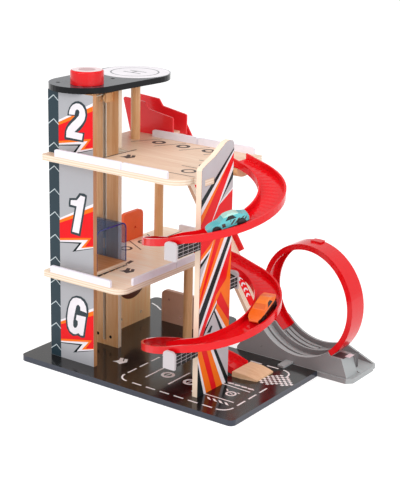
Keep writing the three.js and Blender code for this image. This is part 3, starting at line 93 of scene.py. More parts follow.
class Graph:
    """A material's node tree, built one node at a time."""

    def __init__(self, name: str) -> None:
        """Makes an empty material with an output node.

        Args:
            name: name of the material.
        """
        self.material = bpy.data.materials.new(name)
        self.material.use_nodes = True
        self.tree = self.material.node_tree
        self.tree.nodes.clear()
        self.output = self.tree.nodes.new("ShaderNodeOutputMaterial")

    def add(self, kind: str, settings: dict[str, Any] | None = None, **inputs: Any) -> Any:
        """Adds one node.

        Args:
            kind: node type without its ShaderNode prefix.
            settings: attributes of the node.
            inputs: values or sockets, by socket name with _ for a blank, or in_0, in_1 for a number.

        Returns:
            The new node.
        """
        node = self.tree.nodes.new("ShaderNode" + kind)
        for key, value in (settings or {}).items():
            setattr(node, key, value)
        for key, value in inputs.items():
            place = int(key[3:]) if key.startswith("in_") else key.replace("_", " ")
            socket = node.inputs[place]
            if isinstance(value, bpy.types.NodeSocket):
                self.tree.links.new(value, socket)
            else:
                socket.default_value = value
        return node

    def finish(self, shader: Any) -> bpy.types.Material:
        """Links the shader to the output and returns the material."""
        self.tree.links.new(shader.outputs[0], self.output.inputs["Surface"])
        return self.material


def turned_away(g: Graph, axis: Axis, slope: float) -> Any:
    """Adds a mask of the surfaces that turn away from an axis.

    Args:
        g: the material's nodes.
        axis: the axis that the broad faces look along.
        slope: how much of the normal may still lie along it.

    Returns:
        The socket of the mask, 1 on the edges and 0 on the broad faces.
    """
    normal = g.add("SeparateXYZ", in_0=g.add("NewGeometry").outputs["True Normal"])
    across = g.add("Math", {"operation": "ABSOLUTE"}, in_0=normal.outputs[axis.value])
    return g.add("Math", {"operation": "LESS_THAN"}, in_0=across.outputs[0], in_1=slope).outputs[0]


def along_grain(g: Graph, axis: Axis, width_mm: float, length_mm: float) -> Any:
    """Adds places that draw a pattern out along the grain of a wood.

    Args:
        g: the material's nodes.
        axis: the way of the grain.
        width_mm: width of one streak.
        length_mm: length of one streak.

    Returns:
        The socket of the drawn places, one unit to a streak.
    """
    stretch = [scale_for(width_mm)] * 3
    stretch[axis.value] = scale_for(length_mm)
    place = g.add("NewGeometry").outputs["Position"]
    return g.add("VectorMath", {"operation": "MULTIPLY"}, in_0=place, in_1=stretch).outputs[0]


@dataclass(frozen=True)
class Plywood:
    """Birch plywood, sanded and clear varnished.

    It gives the eye pale faces with long fine grain and a soft sheen, and the plies as stripes on the edges.
    """

    name: str
    thin: Axis = Axis.Z
    grain: Axis = Axis.X
    pale: str = "ecceb4"
    dark: str = "dcb294"
    edge_pale: str = "f2e2d0"
    edge: str = "e4cbb0"
    ply_mm: float = 1.8
    grain_width_mm: float = 3.846
    grain_length_mm: float = 71.43
    flame_share: float = 0.16
    edge_slope: float = 0.6
    roughness: float = 0.36

    def material(self) -> bpy.types.Material:
        """Builds the wood with its grain along one axis and its plies across the thin one."""
        g = Graph(self.name)
        drawn = along_grain(g, self.grain, self.grain_width_mm, self.grain_length_mm)
        streaks = g.add("TexNoise", Vector=drawn, Scale=1.0, Detail=6.0, Roughness=0.62, Distortion=0.35)
        flame = g.add("TexNoise", Vector=drawn, Scale=self.flame_share, Detail=3.0, Roughness=0.5,
                      Distortion=0.8)
        grain = streaks.outputs["Fac"]
        both = g.add("Math", {"operation": "MULTIPLY_ADD"}, in_0=flame.outputs["Fac"], in_1=0.55, in_2=grain)
        depth = g.add("MapRange", Value=both.outputs[0], From_Min=0.55, From_Max=1.0)
        face = g.add("Mix", RGBA, in_0=depth.outputs[0], in_6=linear(self.pale), in_7=linear(self.dark))
        parts = g.add("SeparateXYZ", in_0=g.add("NewGeometry").outputs["Position"])
        layer = g.add("Math", {"operation": "MULTIPLY"}, in_0=parts.outputs[self.thin.value],
                      in_1=math.tau / (2 * self.ply_mm * MM))
        wave = g.add("Math", {"operation": "SINE"}, in_0=layer.outputs[0])
        plies = g.add("MapRange", Value=wave.outputs[0], From_Min=-0.5, From_Max=0.5)
        end = g.add("Mix", RGBA, in_0=plies.outputs[0], in_6=linear(self.edge_pale), in_7=linear(self.edge))
        is_edge = turned_away(g, self.thin, self.edge_slope)
        colour = g.add("Mix", RGBA, in_0=is_edge, in_6=face.outputs[2], in_7=end.outputs[2])
        rough = g.add("MapRange", Value=grain, From_Min=0.3, From_Max=0.7, To_Min=self.roughness - 0.06,
                      To_Max=self.roughness + 0.1)
        bump = g.add("Bump", Height=grain, Strength=0.1, Distance=0.2 * MM)
        return g.finish(g.add("BsdfPrincipled", Base_Color=colour.outputs[2], Roughness=rough.outputs[0],
                              Normal=bump.outputs[0], IOR=COAT_IOR))


@dataclass(frozen=True)
class TurnedBeech:
    """Beech, turned or planed, and oiled.

    It gives the eye a warm even brown with short darker flecks along the grain, and no plies.
    """

    name: str
    grain: Axis = Axis.Z
    pale: str = "eabd8c"
    dark: str = "d29a66"
    fleck: str = "b67c4a"
    grain_width_mm: float = 3.3333
    grain_length_mm: float = 62.5
    roughness: float = 0.4

    def material(self) -> bpy.types.Material:
        """Builds the wood with its flecks drawn out along the grain."""
        g = Graph(self.name)
        drawn = along_grain(g, self.grain, self.grain_width_mm, self.grain_length_mm)
        grain = g.add("TexNoise", Vector=drawn, Scale=0.8, Detail=5.0, Roughness=0.6).outputs["Fac"]
        flecks = g.add("TexNoise", Vector=drawn, Scale=2.6, Detail=2.0)
        depth = g.add("MapRange", Value=grain, From_Min=0.3, From_Max=0.72)
        wood = g.add("Mix", RGBA, in_0=depth.outputs[0], in_6=linear(self.pale), in_7=linear(self.dark))
        fleck = g.add("MapRange", Value=flecks.outputs["Fac"], From_Min=0.62, From_Max=0.72, To_Max=0.5)
        colour = g.add("Mix", RGBA, in_0=fleck.outputs[0], in_6=wood.outputs[2], in_7=linear(self.fleck))
        bump = g.add("Bump", Height=grain, Strength=0.1, Distance=0.2 * MM)
        return g.finish(g.add("BsdfPrincipled", Base_Color=colour.outputs[2], Roughness=self.roughness,
                              Normal=bump.outputs[0], IOR=COAT_IOR))


@dataclass(frozen=True)
class Skin:
    """What spraying or moulding leaves on a surface: patches of unlike gloss, and a fine relief."""

    patch_mm: float
    patch_detail: float
    relief_mm: float
    relief_detail: float
    duller: float
    glossier: float
    strength: float
    depth_mm: float

    def lay(self, g: Graph, roughness: float) -> tuple[Any, dict[str, Any]]:
        """Adds the skin to a material.

        Args:
            g: the material's nodes.
            roughness: middle roughness of the surface.

        Returns:
            The socket of the patches, and the shader's roughness, normal and IOR.
        """
        place = g.add("NewGeometry").outputs["Position"]
        patch = g.add("TexNoise", Vector=place, Scale=scale_for(self.patch_mm), Detail=self.patch_detail)
        relief = g.add("TexNoise", Vector=place, Scale=scale_for(self.relief_mm), Detail=self.relief_detail)
        rough = g.add("MapRange", Value=patch.outputs["Fac"], From_Min=0.3, From_Max=0.7,
                      To_Min=roughness - self.glossier, To_Max=roughness + self.duller)
        bump = g.add("Bump", Height=relief.outputs["Fac"], Strength=self.strength,
                     Distance=self.depth_mm * MM)
        skin = {"Roughness": rough.outputs[0], "Normal": bump.outputs[0], "IOR": COAT_IOR}
        return patch.outputs["Fac"], skin


# Orange peel of a spray gun, the finer skin of a coat rubbed down, and the flow marks of a moulding
SPRAYED_SKIN = Skin(22.222, 3.0, 0.71429, 2.0, 0.04, 0.04, 0.05, 0.1)
BOARD_SKIN = Skin(33.333, 4.0, 1.1111, 2.0, 0.06, 0.05, 0.02, 0.03)
MOULDED_SKIN = Skin(45.4545, 2.0, 1.42857, 3.0, 0.05, 0.04, 0.03, 0.05)


@dataclass(frozen=True)
class Enamel:
    """Enamel sprayed on wood, or ink screen-printed on it.

    It gives the eye an even flat colour with the slight orange peel of a sprayed coat.
    """

    name: str
    colour: str
    roughness: float = 0.4
    gloss_level: float = 0.3
    mottle: float = 0.04

    def material(self) -> bpy.types.Material:
        """Builds the coat with a faint mottle."""
        g = Graph(self.name)
        patch, skin = SPRAYED_SKIN.lay(g, self.roughness)
        low, high = ((*(min(c * (1 + turn * self.mottle), 1.0) for c in linear(self.colour)[:3]), 1.0)
                     for turn in (-1, 1))
        depth = g.add("MapRange", Value=patch, From_Min=0.3, From_Max=0.7)
        colour = g.add("Mix", RGBA, in_0=depth.outputs[0], in_6=low, in_7=high)
        return g.finish(g.add("BsdfPrincipled", Base_Color=colour.outputs[2],
                              Specular_IOR_Level=self.gloss_level, **skin))


@dataclass(frozen=True)
class TwoTone:
    """A board or moulding whose broad faces and edges show two tones, under a thin clear coat.

    It gives the eye a smooth even face, with the other tone where it turns away at the sanded edge: bare wood
    on the tower's fronts and the wedge, and painted shade on the roof's edges. On the cradle the darker broad
    sides are painted shade.
    """

    name: str
    face: str
    edge: str
    thin: Axis = Axis.Z
    roughness: float = 0.3
    coat: float = 0.0
    gloss_level: float = 0.5
    edge_slope: float = 0.8

    def material(self) -> bpy.types.Material:
        """Builds the two tones, told apart by which way the surface faces."""
        g = Graph(self.name)
        skin = BOARD_SKIN.lay(g, self.roughness)[1]
        is_edge = turned_away(g, self.thin, self.edge_slope)
        colour = g.add("Mix", RGBA, in_0=is_edge, in_6=linear(self.face), in_7=linear(self.edge))
        return g.finish(g.add("BsdfPrincipled", Base_Color=colour.outputs[2],
                              Specular_IOR_Level=self.gloss_level, Coat_Weight=self.coat, Coat_Roughness=0.03,
                              **skin))


@dataclass(frozen=True)
class MouldedAbs:
    """ABS, injection moulded in a polished mould.

    It gives the eye one even colour and a clean gloss that wavers faintly where the melt flowed.
    """

    name: str
    colour: str
    roughness: float = 0.22
    gloss_level: float = 0.5

    def material(self) -> bpy.types.Material:
        """Builds the plastic with low relief and a little variation in gloss."""
        g = Graph(self.name)
        skin = MOULDED_SKIN.lay(g, self.roughness)[1]
        return g.finish(g.add("BsdfPrincipled", Base_Color=linear(self.colour),
                              Specular_IOR_Level=self.gloss_level, **skin))


@dataclass(frozen=True)
class TintedAcrylic:
    """Acrylic sheet, tinted, bent hot and polished.

    It gives the eye a nearly clear face, and deep blue edges that gather the light.
    """

    name: str
    face: str
    edge: str
    clearness: float = 0.9
    edge_slope: float = 0.7

    def material(self) -> bpy.types.Material:
        """Builds a thin see-through sheet that doesn't bend rays."""
        g = Graph(self.name)
        is_sheet = turned_away(g, Axis.X, self.edge_slope)
        clear = g.add("BsdfTransparent", Color=linear(self.face))
        gloss = g.add("BsdfPrincipled", Base_Color=linear(self.face), Roughness=0.06, IOR=ACRYLIC_IOR)
        sheet = g.add("MixShader", in_0=1 - self.clearness, in_1=clear.outputs[0], in_2=gloss.outputs[0])
        rim = g.add("BsdfPrincipled", Base_Color=linear(self.edge), Roughness=0.15, IOR=ACRYLIC_IOR)
        return g.finish(g.add("MixShader", in_0=is_sheet, in_1=rim.outputs[0], in_2=sheet.outputs[0]))


@dataclass(frozen=True)
class BraidedCord:
    """Cotton cord, braided and left natural.

    It gives the eye a soft matt white. The real braid is too fine to show, so its ridges are drawn
    2 mm apart.
    """

    name: str
    colour: str = "ece7da"
    ridge_mm: float = 1.9635
    bands_per_turn: float = 10.0

    def material(self) -> bpy.types.Material:
        """Builds the slanting ridges of the braid."""
        g = Graph(self.name)
        place = g.add("NewGeometry").outputs["Position"]
        ridges = g.add("TexWave", {"bands_direction": "DIAGONAL"}, Vector=place,
                       Scale=scale_for(self.ridge_mm) * math.tau / self.bands_per_turn)
        bump = g.add("Bump", Height=ridges.outputs["Fac"], Strength=0.6, Distance=0.3 * MM)
        return g.finish(g.add("BsdfPrincipled", Base_Color=linear(self.colour), Roughness=0.85,
                              Normal=bump.outputs[0]))


@dataclass(frozen=True)
class Checkers:
    """Dark blocks pad-printed on pale moulded ABS, with thin lines of it left between them.

    They give the eye a dull black grid that reads as a finish line.
    """

    name: str
    block_mm: float = 12.0
    row_mm: float = 5.3
    line_mm: float = 0.55
    dark: str = "080506"
    light: str = "cfc8cc"

    def material(self) -> bpy.types.Material:
        """Builds the blocks in the plane of the bracket's side."""
        g = Graph(self.name)
        parts = g.add("SeparateXYZ", in_0=g.add("NewGeometry").outputs["Position"])
        flat = g.add("CombineXYZ", in_0=parts.outputs[Axis.Y.value], in_1=parts.outputs[Axis.Z.value])
        blocks = g.add("TexBrick", {"offset": 0.0}, Vector=flat.outputs[0], Color1=linear(self.dark),
                       Color2=linear(self.dark), Mortar=linear(self.light), Scale=1 / MM,
                       Mortar_Size=self.line_mm / 2, Mortar_Smooth=0.0, Brick_Width=self.block_mm,
                       Row_Height=self.row_mm)
        return g.finish(g.add("BsdfPrincipled", Base_Color=blocks.outputs["Color"], Roughness=0.45,
                              IOR=COAT_IOR, Specular_IOR_Level=0.25))


@dataclass(frozen=True)
class CarAxes:
    """Axes of a toy car: the point between its axles on the ground, and its ways on, across and up."""

    middle: Vector
    onward: Vector
    across: Vector
    up: Vector

    @classmethod
    def of(cls, front: bpy.types.Object, rear: bpy.types.Object, wheel_radius: float) -> "CarAxes":
        """Finds the axes from the two pairs of wheels.

        Args:
            front: the front pair.
            rear: the rear pair.
            wheel_radius: radius of the wheels in metres.

        Returns:
            The car's axes in the frame.
        """
        ends = []
        for pair in (front, rear):
            corners = [pair.matrix_world @ Vector(corner) for corner in pair.bound_box]
            ends.append(sum(corners, Vector()) / len(corners))
        onward = (ends[0] - ends[1]).normalized()
        across = Vector((0.0, 0.0, 1.0)).cross(onward).normalized()
        up = onward.cross(across)
        return cls((ends[0] + ends[1]) / 2 - up * wheel_radius, onward, across, up)


@dataclass(frozen=True)
class CarLacquer:
    """Lacquer sprayed on a toy car's body, with pad-printed windows and trim.

    It gives the eye a bright gloss in one colour, a paler roof, and small dark marks along the sides.
    """

    name: str
    axes: CarAxes
    turn: Matrix
    body: str
    roof: str
    trim: str
    sill: float
    flames: bool = False
    screen: str = ""
    window: str = "17181c"
    flame_mm: float = 6.5
    flame_slant: float = 1.3
    screen_slants: Point = (1.2, -0.9)
    roughness: float = 0.18

    def material(self) -> bpy.types.Material:
        """Builds the lacquer and its prints in the car's own axes, in millimetres."""
        g = Graph(self.name)
        place = g.add("TexCoord").outputs
        x, y, z = (self.along(g, place["Object"], way, 1 / MM)
                   for way in (self.axes.onward, self.axes.across, self.axes.up))
        ahead, aside = (self.along(g, place["Normal"], way, 0.0)
                        for way in (self.axes.onward, self.axes.across))
        sideways = g.add("Math", {"operation": "ABSOLUTE"}, in_0=aside).outputs[0]
        flame, front, back = (
            g.add("Math", {"operation": "MULTIPLY_ADD"}, in_0=z, in_1=slant, in_2=x).outputs[0]
            for slant in (self.flame_slant, *self.screen_slants)
        )
        # Each print has its colour and the tests that all hold where it lies. COMPARE holds where the first
        # value is no further from the second than the third says.
        side = ("GREATER_THAN", sideways, 0.3)
        prints = [(self.roof, [("GREATER_THAN", z, 19.6)]), (self.trim, [side, ("LESS_THAN", z, self.sill)])]
        if self.flames:
            phase = g.add("Math", {"operation": "MULTIPLY"}, in_0=flame, in_1=math.tau / self.flame_mm)
            wave = g.add("Math", {"operation": "SINE"}, in_0=phase.outputs[0]).outputs[0]
            prints += [
                (self.trim, [side, ("COMPARE", z, 11.1, 3.1), ("COMPARE", x, -15.0, 12.0),
                             ("GREATER_THAN", wave, 0.0)]),
                (self.trim, [side, ("COMPARE", z, 10.5, 2.5), ("COMPARE", x, 7.0, 2.5)]),
            ]
        prints.append((self.window, [side, ("COMPARE", z, 17.6, 2.4), ("LESS_THAN", front, 21.5),
                                     ("GREATER_THAN", back, -27.0)]))
        if self.screen:
            prints.append((self.screen, [("GREATER_THAN", ahead, 0.35), ("COMPARE", z, 18.1, 2.5),
                                         ("COMPARE", y, 0.0, 8.6)]))
        colour: Any = linear(self.body)
        for code, tests in prints:
            factor: Any = 1.0
            for operation, *values in tests:
                inputs = {f"in_{i}": value for i, value in enumerate(values)}
                test = g.add("Math", {"operation": operation}, **inputs).outputs[0]
                factor = g.add("Math", {"operation": "MULTIPLY"}, in_0=factor, in_1=test).outputs[0]
            colour = g.add("Mix", RGBA, in_0=factor, in_6=colour, in_7=linear(code)).outputs[2]
        flow = g.add("TexNoise", Vector=place["Object"], Scale=scale_for(16.667), Detail=2.0)
        rough = g.add("MapRange", Value=flow.outputs["Fac"], To_Min=self.roughness - 0.05,
                      To_Max=self.roughness + 0.05)
        return g.finish(g.add("BsdfPrincipled", Base_Color=colour, Roughness=rough.outputs[0], IOR=COAT_IOR))

    def along(self, g: Graph, place: Any, way: Vector, scale: float) -> Any:
        """Measures along one of the car's ways.

        Args:
            g: the material's nodes.
            place: socket of a point or a direction of the piece.
            way: the way to measure along.
            scale: what one metre of a point counts, or 0 for a direction.

        Returns:
            The socket of the reach from the car's middle, or of the direction's share.
        """
        inner = self.turn.to_3x3().transposed() @ way * (scale or 1.0)
        reach = g.add("VectorMath", {"operation": "DOT_PRODUCT"}, in_0=place, in_1=inner[:]).outputs["Value"]
        shift = (self.turn.translation - self.axes.middle).dot(way) * scale
        return g.add("Math", {"operation": "ADD"}, in_0=reach, in_1=shift).outputs[0]


@dataclass
class Finishes:
    """Every finish of the toy, made once and handed out by name."""

    made: dict[str, bpy.types.Material] = field(default_factory=dict)

    def get(self, finish: Any) -> bpy.types.Material:
        """Hands out the material of a finish, building it the first time.

        Args:
            finish: one of the finishes above.

        Returns:
            Its material.
        """
        if finish.name not in self.made:
            self.made[finish.name] = finish.material()
        return self.made[finish.name]


FLOOR_WOOD = Plywood("varnished_birch_floor", Axis.Z, Axis.X)
# A paler copy of the birch: painted light on the first floor, which lies in the shade of the floor above
LOW_FLOOR_WOOD_PAINTED_LIGHT = Plywood("varnished_birch_low_floor_painted_light", Axis.Z, Axis.X, pale="fff2e0", dark="fbdcbc")
# A deeper orange copy of the birch: painted shade, matched to the shaft's rear wall where it stands in shade;
# the lift's runner shares it
WALL_WOOD_PAINTED_SHADE = Plywood("varnished_birch_wall_painted_shade", Axis.Y, Axis.Z, pale="f8c48f", dark="e6a164")
# A paler copy of the birch: painted light on the ground floor's side wall, which the lamps leave in shade
SIDE_WOOD_PAINTED_LIGHT = Plywood("varnished_birch_side_painted_light", Axis.X, Axis.Z, pale="ffdba8", dark="fbc083")
RAMP_WOOD = Plywood("varnished_birch_ramp", Axis.Y, Axis.Z)
# A darker orange copy of the birch: painted shade on the lift's floor, which lies in shade in the shaft
LIFT_WOOD_PAINTED_SHADE = Plywood("varnished_birch_lift_painted_shade", Axis.Z, Axis.X, pale="f0a96e", dark="d98c50")
POST_WOOD = TurnedBeech("oiled_beech_post")
RUNOUT_WOOD = TurnedBeech("oiled_beech_runout", Axis.X, pale="f2cda6", dark="e2b284", fleck="d2a070")
# Enamel rubbed to a gloss: black boards that mirror what stands on them. The base has slate edges; the roof's
# near-black edges are painted shade on its sides
BOARD_DARK = TwoTone("polished_enamel_base", "181413", "2b3140", Axis.Z, 0.17, 0.12)
ROOF_DARK_PAINTED_SHADE = TwoTone("polished_enamel_roof_painted_shade", "343841", "020308", Axis.Z, 0.12, 0.04, 0.2)
# Metallic enamel on the fronts, with bare wood at their sawn edges
SILVER = TwoTone("sprayed_enamel_silver", "a9a9ae", "c08a5c", Axis.Y, 0.35, 0.1)
WEDGE_GREY = TwoTone("sprayed_enamel_wedge", "bdb9bd", "f3dcc4", Axis.X, 0.35, 0.1)
# Moulded grey ABS: a dull shell, darker on its broad sides as painted shade, for they lie in each other's
# shade
CRADLE_GREY_PAINTED_SHADE = TwoTone("moulded_abs_cradle_painted_shade", "858182", "a3a7a8", Axis.Y, 0.32)
RED = MouldedAbs("moulded_abs_red", "dd0a14", 0.13, 0.34)
LIP_GREY = MouldedAbs("moulded_abs_lip", "c6bfc2", 0.34)
BLACK = MouldedAbs("moulded_abs_black", "141417", 0.35)
# Red lacquer poured on plywood: as smooth as a moulding, a touch lighter than the ramps
RED_LACQUER = MouldedAbs("poured_lacquer_red", "ea2a30", 0.2, 0.35)
RAIL = Enamel("sprayed_enamel_rail", "ece9f3", 0.35, 0.5)
RUST = Enamel("sprayed_enamel_rust", "ee6534", 0.45)
MAUVE = Enamel("sprayed_enamel_mauve", "dcb3a0", 0.5)
ACRYLIC = TintedAcrylic("polished_acrylic_blue", "d2def0", "132078")
CORD = BraidedCord("braided_cotton_cord")
CHECKERS = Checkers("printed_abs_checkers")

NODE_FINISHES: dict[str, Any] = {
    "base_board": BOARD_DARK,
    "roof_board": ROOF_DARK_PAINTED_SHADE,
    "tower_panel_": SILVER,
    "lift_rear_wall": WALL_WOOD_PAINTED_SHADE,
    "level_1_board": LOW_FLOOR_WOOD_PAINTED_LIGHT,
    "level_2_board": FLOOR_WOOD,
    "launcher_floor": FLOOR_WOOD,
    "post_": POST_WOOD,
    "knob_spindle": POST_WOOD,
    "knob": RED,
    "guide_bobbin": POST_WOOD,
    "bobbin_fork": POST_WOOD,
    "spiral_rest": POST_WOOD,
    "cord_": CORD,
    "lift_floor": LIFT_WOOD_PAINTED_SHADE,
    "lift_canopy": ACRYLIC,
    "lift_runner": WALL_WOOD_PAINTED_SHADE,
    "side_wall_ground": SIDE_WOOD_PAINTED_LIGHT,
    "back_wall_ground": MAUVE,
    "side_wall_level_1": RUST,
    "wedge_panel": WEDGE_GREY,
    "runout_ramp": RUNOUT_WOOD,
    "launcher_cheek_": RED_LACQUER,
    "launch_ramp_rail": RED,
    "launch_ramp": RAMP_WOOD,
    "loop_track_": RED,
    "loop_cradle": CRADLE_GREY_PAINTED_SHADE,
    "rail_": RAIL,
    "spiral_ramp": RED,
    "_lip": LIP_GREY,
    "bracket": CHECKERS,
    "axle": BLACK,
}


def finish_of(node: str) -> Any:
    """Finds the finish of a CAD node.

    Args:
        node: the node's name.

    Returns:
        The finish of the first part of a name above that it holds.
    """
    for part, finish in NODE_FINISHES.items():
        if part in node:
            return finish
    raise KeyError(node)


@dataclass
class ToyCars:
    """Lacquers of the two toy cars: teal with flames, orange with dark sides."""

    nodes: dict[str, bpy.types.Object]
    wheel_radius: float = 6.0

    def lacquers(self) -> dict[str, CarLacquer]:
        """Returns the lacquer of each car's body, placed by its own axles."""
        return {
            "teal_car_body": self.lacquer("teal_car", "58b2b8", "a9d6cc", "3c2420", 6.0, flames=True),
            "orange_car_body": self.lacquer("orange_car", "e8660f", "ee7c28", "32140f", 13.2,
                                            screen="d25c12"),
        }

    def lacquer(self, car: str, *colours: Any, **prints: Any) -> CarLacquer:
        """Makes one car's lacquer.

        Args:
            car: the car's name.
            colours: its body, roof and trim, and how high the trim reaches on its sill.
            prints: what else is printed on it.

        Returns:
            The lacquer.
        """
        front, rear = (self.nodes[f"{car}_axle_{end}"] for end in ("front", "rear"))
        axes = CarAxes.of(front, rear, self.wheel_radius * MM)
        turn = self.nodes[car + "_body"].matrix_world.copy()
        return CarLacquer(car + "_lacquer", axes, turn, *colours, **prints)


@dataclass
class FramePieces:
    """The CAD pieces, with their edges softened and their finishes on."""

    finishes: Finishes
    nodes: dict[str, bpy.types.Object]
    bevel_mm: float = 0.5
    crease_degrees: float = 40.0

    def build(self) -> None:
        """Gives each piece its finish and a small bevel, as sanding or a mould leaves it."""
        lacquers = ToyCars(self.nodes).lacquers()
        for name, piece in self.nodes.items():
            piece.data.materials.clear()
            piece.data.materials.append(self.finishes.get(lacquers.get(name) or finish_of(name)))
            bevel = piece.modifiers.new("edge", "BEVEL")
            bevel.width = self.bevel_mm * MM
            bevel.segments = 2
            bevel.limit_method = "ANGLE"
            bevel.angle_limit = math.radians(self.crease_degrees)
            for polygon in piece.data.polygons:
                polygon.use_smooth = True
            even = piece.modifiers.new("even", "WEIGHTED_NORMAL")
            even.keep_sharp = True
            even.mode = "FACE_AREA_WITH_ANGLE"
            LOG.info("finished %s", name)


Loop = Sequence[Point]
Shape = Sequence[Loop]
# A band's corner is drawn out to a point, but to twice its half width at most
MITRE_LIMIT = 0.5


def in_frame(x: float, y: float, z: float) -> Vector:
    """Turns millimetres from the base board's front left corner into the frame's metres."""
    return Vector((x - BASE_WIDTH / 2, y - BASE_DEPTH / 2, z)) * MM


@dataclass(frozen=True)
class Face:
    """A flat face that takes print: one point of it, the way across it and the way up it."""

    corner: tuple[float, float, float]
    across: tuple[float, float, float]
    up: tuple[float, float, float]

    def place(self, u: float, v: float, lift: float) -> Vector:
        """Returns the point that lies u across, v up and lift off the face, all in millimetres."""
        a, b = Vector(self.across), Vector(self.up)
        return in_frame(*(Vector(self.corner) + u * a + v * b + lift * a.cross(b)))


def front_face(y: float) -> Face:
    """Returns a face that looks to the front, read as X and Z."""
    return Face((0.0, y, 0.0), (1.0, 0.0, 0.0), (0.0, 0.0, 1.0))


def top_face(z: float) -> Face:
    """Returns a face that looks up, read as X and Y."""
    return Face((0.0, 0.0, z), (1.0, 0.0, 0.0), (0.0, 1.0, 0.0))


def side_face(x: float) -> Face:
    """Returns a face that looks to the right, read as Y and Z."""
    return Face((x, 0.0, 0.0), (0.0, 1.0, 0.0), (0.0, 0.0, 1.0))


def oblong(u0: float, v0: float, u1: float, v1: float) -> Shape:
    """Returns an upright rectangle."""
    return [[(u0, v0), (u1, v0), (u1, v1), (u0, v1)]]


def arc(centre: Point, radius: float, start: float, end: float, steps: int = 16) -> list[Point]:
    """Returns points along an arc, from one angle to another in degrees."""
    angles = (math.radians(start + (end - start) * i / steps) for i in range(steps + 1))
    return [(centre[0] + radius * math.cos(a), centre[1] + radius * math.sin(a)) for a in angles]


def disc(centre: Point, radius: float, steps: int = 48) -> Shape:
    """Returns a round disc."""
    return [arc(centre, radius, 0, 360, steps)[:-1]]


def ring(centre: Point, outer: float, inner: float) -> Shape:
    """Returns a round disc with a round hole."""
    return [*disc(centre, outer), *disc(centre, inner)]


def stroke(points: Sequence[Point], width: float) -> Shape:
    """Draws a band of even width along a line of points.

    Args:
        points: the line.
        width: width of the band.

    Returns:
        The outline of the band, mitred at its corners.
    """
    left: list[Point] = []
    right: list[Point] = []
    for i, point in enumerate(points):
        before = Vector(points[max(i - 1, 0)])
        after = Vector(points[min(i + 1, len(points) - 1)])
        here = Vector(point)
        ways = [way.normalized() for way in (here - before, after - here) if way.length > 0]
        way = sum(ways, Vector((0.0, 0.0))).normalized()
        reach = width / 2 / max(way.dot(ways[0]), MITRE_LIMIT)
        side = Vector((-way.y, way.x)) * reach
        left.append(tuple(here + side))
        right.append(tuple(here - side))
    return [left + right[::-1]]


def dashes(start: Point, end: Point, count: int, share: float, width: float) -> list[Shape]:
    """Returns evenly spaced dashes between two points.

    Args:
        start: where the first dash begins.
        end: where the last dash ends.
        count: how many dashes.
        share: how much of each step the dash fills.
        width: width of the line.

    Returns:
        One shape a dash.
    """
    a, b = Vector(start), Vector(end)
    step = (b - a) / (count - 1 + share)
    return [stroke([tuple(a + i * step), tuple(a + (i + share) * step)], width) for i in range(count)]


def moved(loop: Loop, by: Point) -> list[Point]:
    """Returns a loop set down in another place."""
    return [(u + by[0], v + by[1]) for u, v in loop]


@dataclass
class Printer:
    """Lays thin layers of print on the pieces and counts them."""

    finishes: Finishes
    lift_mm: float = 0.05
    count: int = 0

    def link(self, name: str, ink: Any, mesh: bpy.types.Mesh, body: str, slot: str) -> bpy.types.Object:
        """Turns a finished layer into a piece that rides on a body.

        Args:
            name: name of the layer.
            ink: its finish.
            mesh: its faces.
            body: what it rides on.
            slot: the slot of the surface below; not used.

        Returns:
            The printed layer.
        """
        mesh.materials.append(self.finishes.get(ink))
        layer = bpy.data.objects.new(name, mesh)
        bpy.context.scene.collection.objects.link(layer)
        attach(layer, body)
        self.count += 1
        LOG.info("printed %s on %s", name, body)
        return layer

    def lay(self, name: str, ink: Any, face: Face, shapes: Iterable[Shape], layer: int = 1,
            body: str = "garage", slot: str = "wood") -> bpy.types.Object:
        """Prints flat shapes on a face.

        Args:
            name: name of the layer.
            ink: its finish.
            face: the face that takes it.
            shapes: outlines, each followed by its holes.
            layer: how many layers of print lie up to and with this one.
            body: what it rides on.
            slot: the slot of the surface below, handed on to link.

        Returns:
            The printed layer.
        """
        points: list[Vector] = []
        triangles: list[tuple[int, int, int]] = []
        for shape in shapes:
            flat = [[Vector((u, v, 0.0)) for u, v in loop] for loop in shape]
            corners = [corner for loop in flat for corner in loop]
            for a, b, c in tessellate_polygon(flat):
                turn = (corners[b] - corners[a]).cross(corners[c] - corners[a]).z
                order = (a, b, c) if turn > 0 else (a, c, b)
                triangles.append(tuple(len(points) + i for i in order))
            points.extend(face.place(corner.x, corner.y, layer * self.lift_mm) for corner in corners)
        mesh = bpy.data.meshes.new(name)
        mesh.from_pydata(points, [], triangles)
        return self.link(name, ink, mesh, body, slot)

    def clip(self, name: str, ink: Any, piece: bpy.types.Object, cuts: Sequence[tuple[Vector, Vector]],
             layer: int, slot: str) -> bpy.types.Object:
        """Prints the part of a piece's right-hand face that lies on the kept side of some cuts.

        Args:
            name: name of the layer.
            ink: its finish.
            piece: the CAD piece.
            cuts: a point of each cut and the way to its kept side.
            layer: how many layers of print lie up to and with this one.
            slot: the slot of the piece, handed on to link.

        Returns:
            The printed layer.
        """
        sheet = bmesh.new()
        sheet.from_mesh(piece.data)
        far = max(corner.co.x for corner in sheet.verts)
        rest = [f for f in sheet.faces if f.normal.x < 0.9 or f.calc_center_median().x < far - MM / 2]
        bmesh.ops.delete(sheet, geom=rest, context="FACES")
        for point, way in cuts:
            parts = [*sheet.verts, *sheet.edges, *sheet.faces]
            bmesh.ops.bisect_plane(sheet, geom=parts, plane_co=point, plane_no=way, clear_inner=True)
        bmesh.ops.translate(sheet, verts=sheet.verts, vec=(layer * self.lift_mm * MM, 0, 0))
        mesh = bpy.data.meshes.new(name)
        sheet.to_mesh(mesh)
        sheet.free()
        return self.link(name, ink, mesh, "garage", slot)


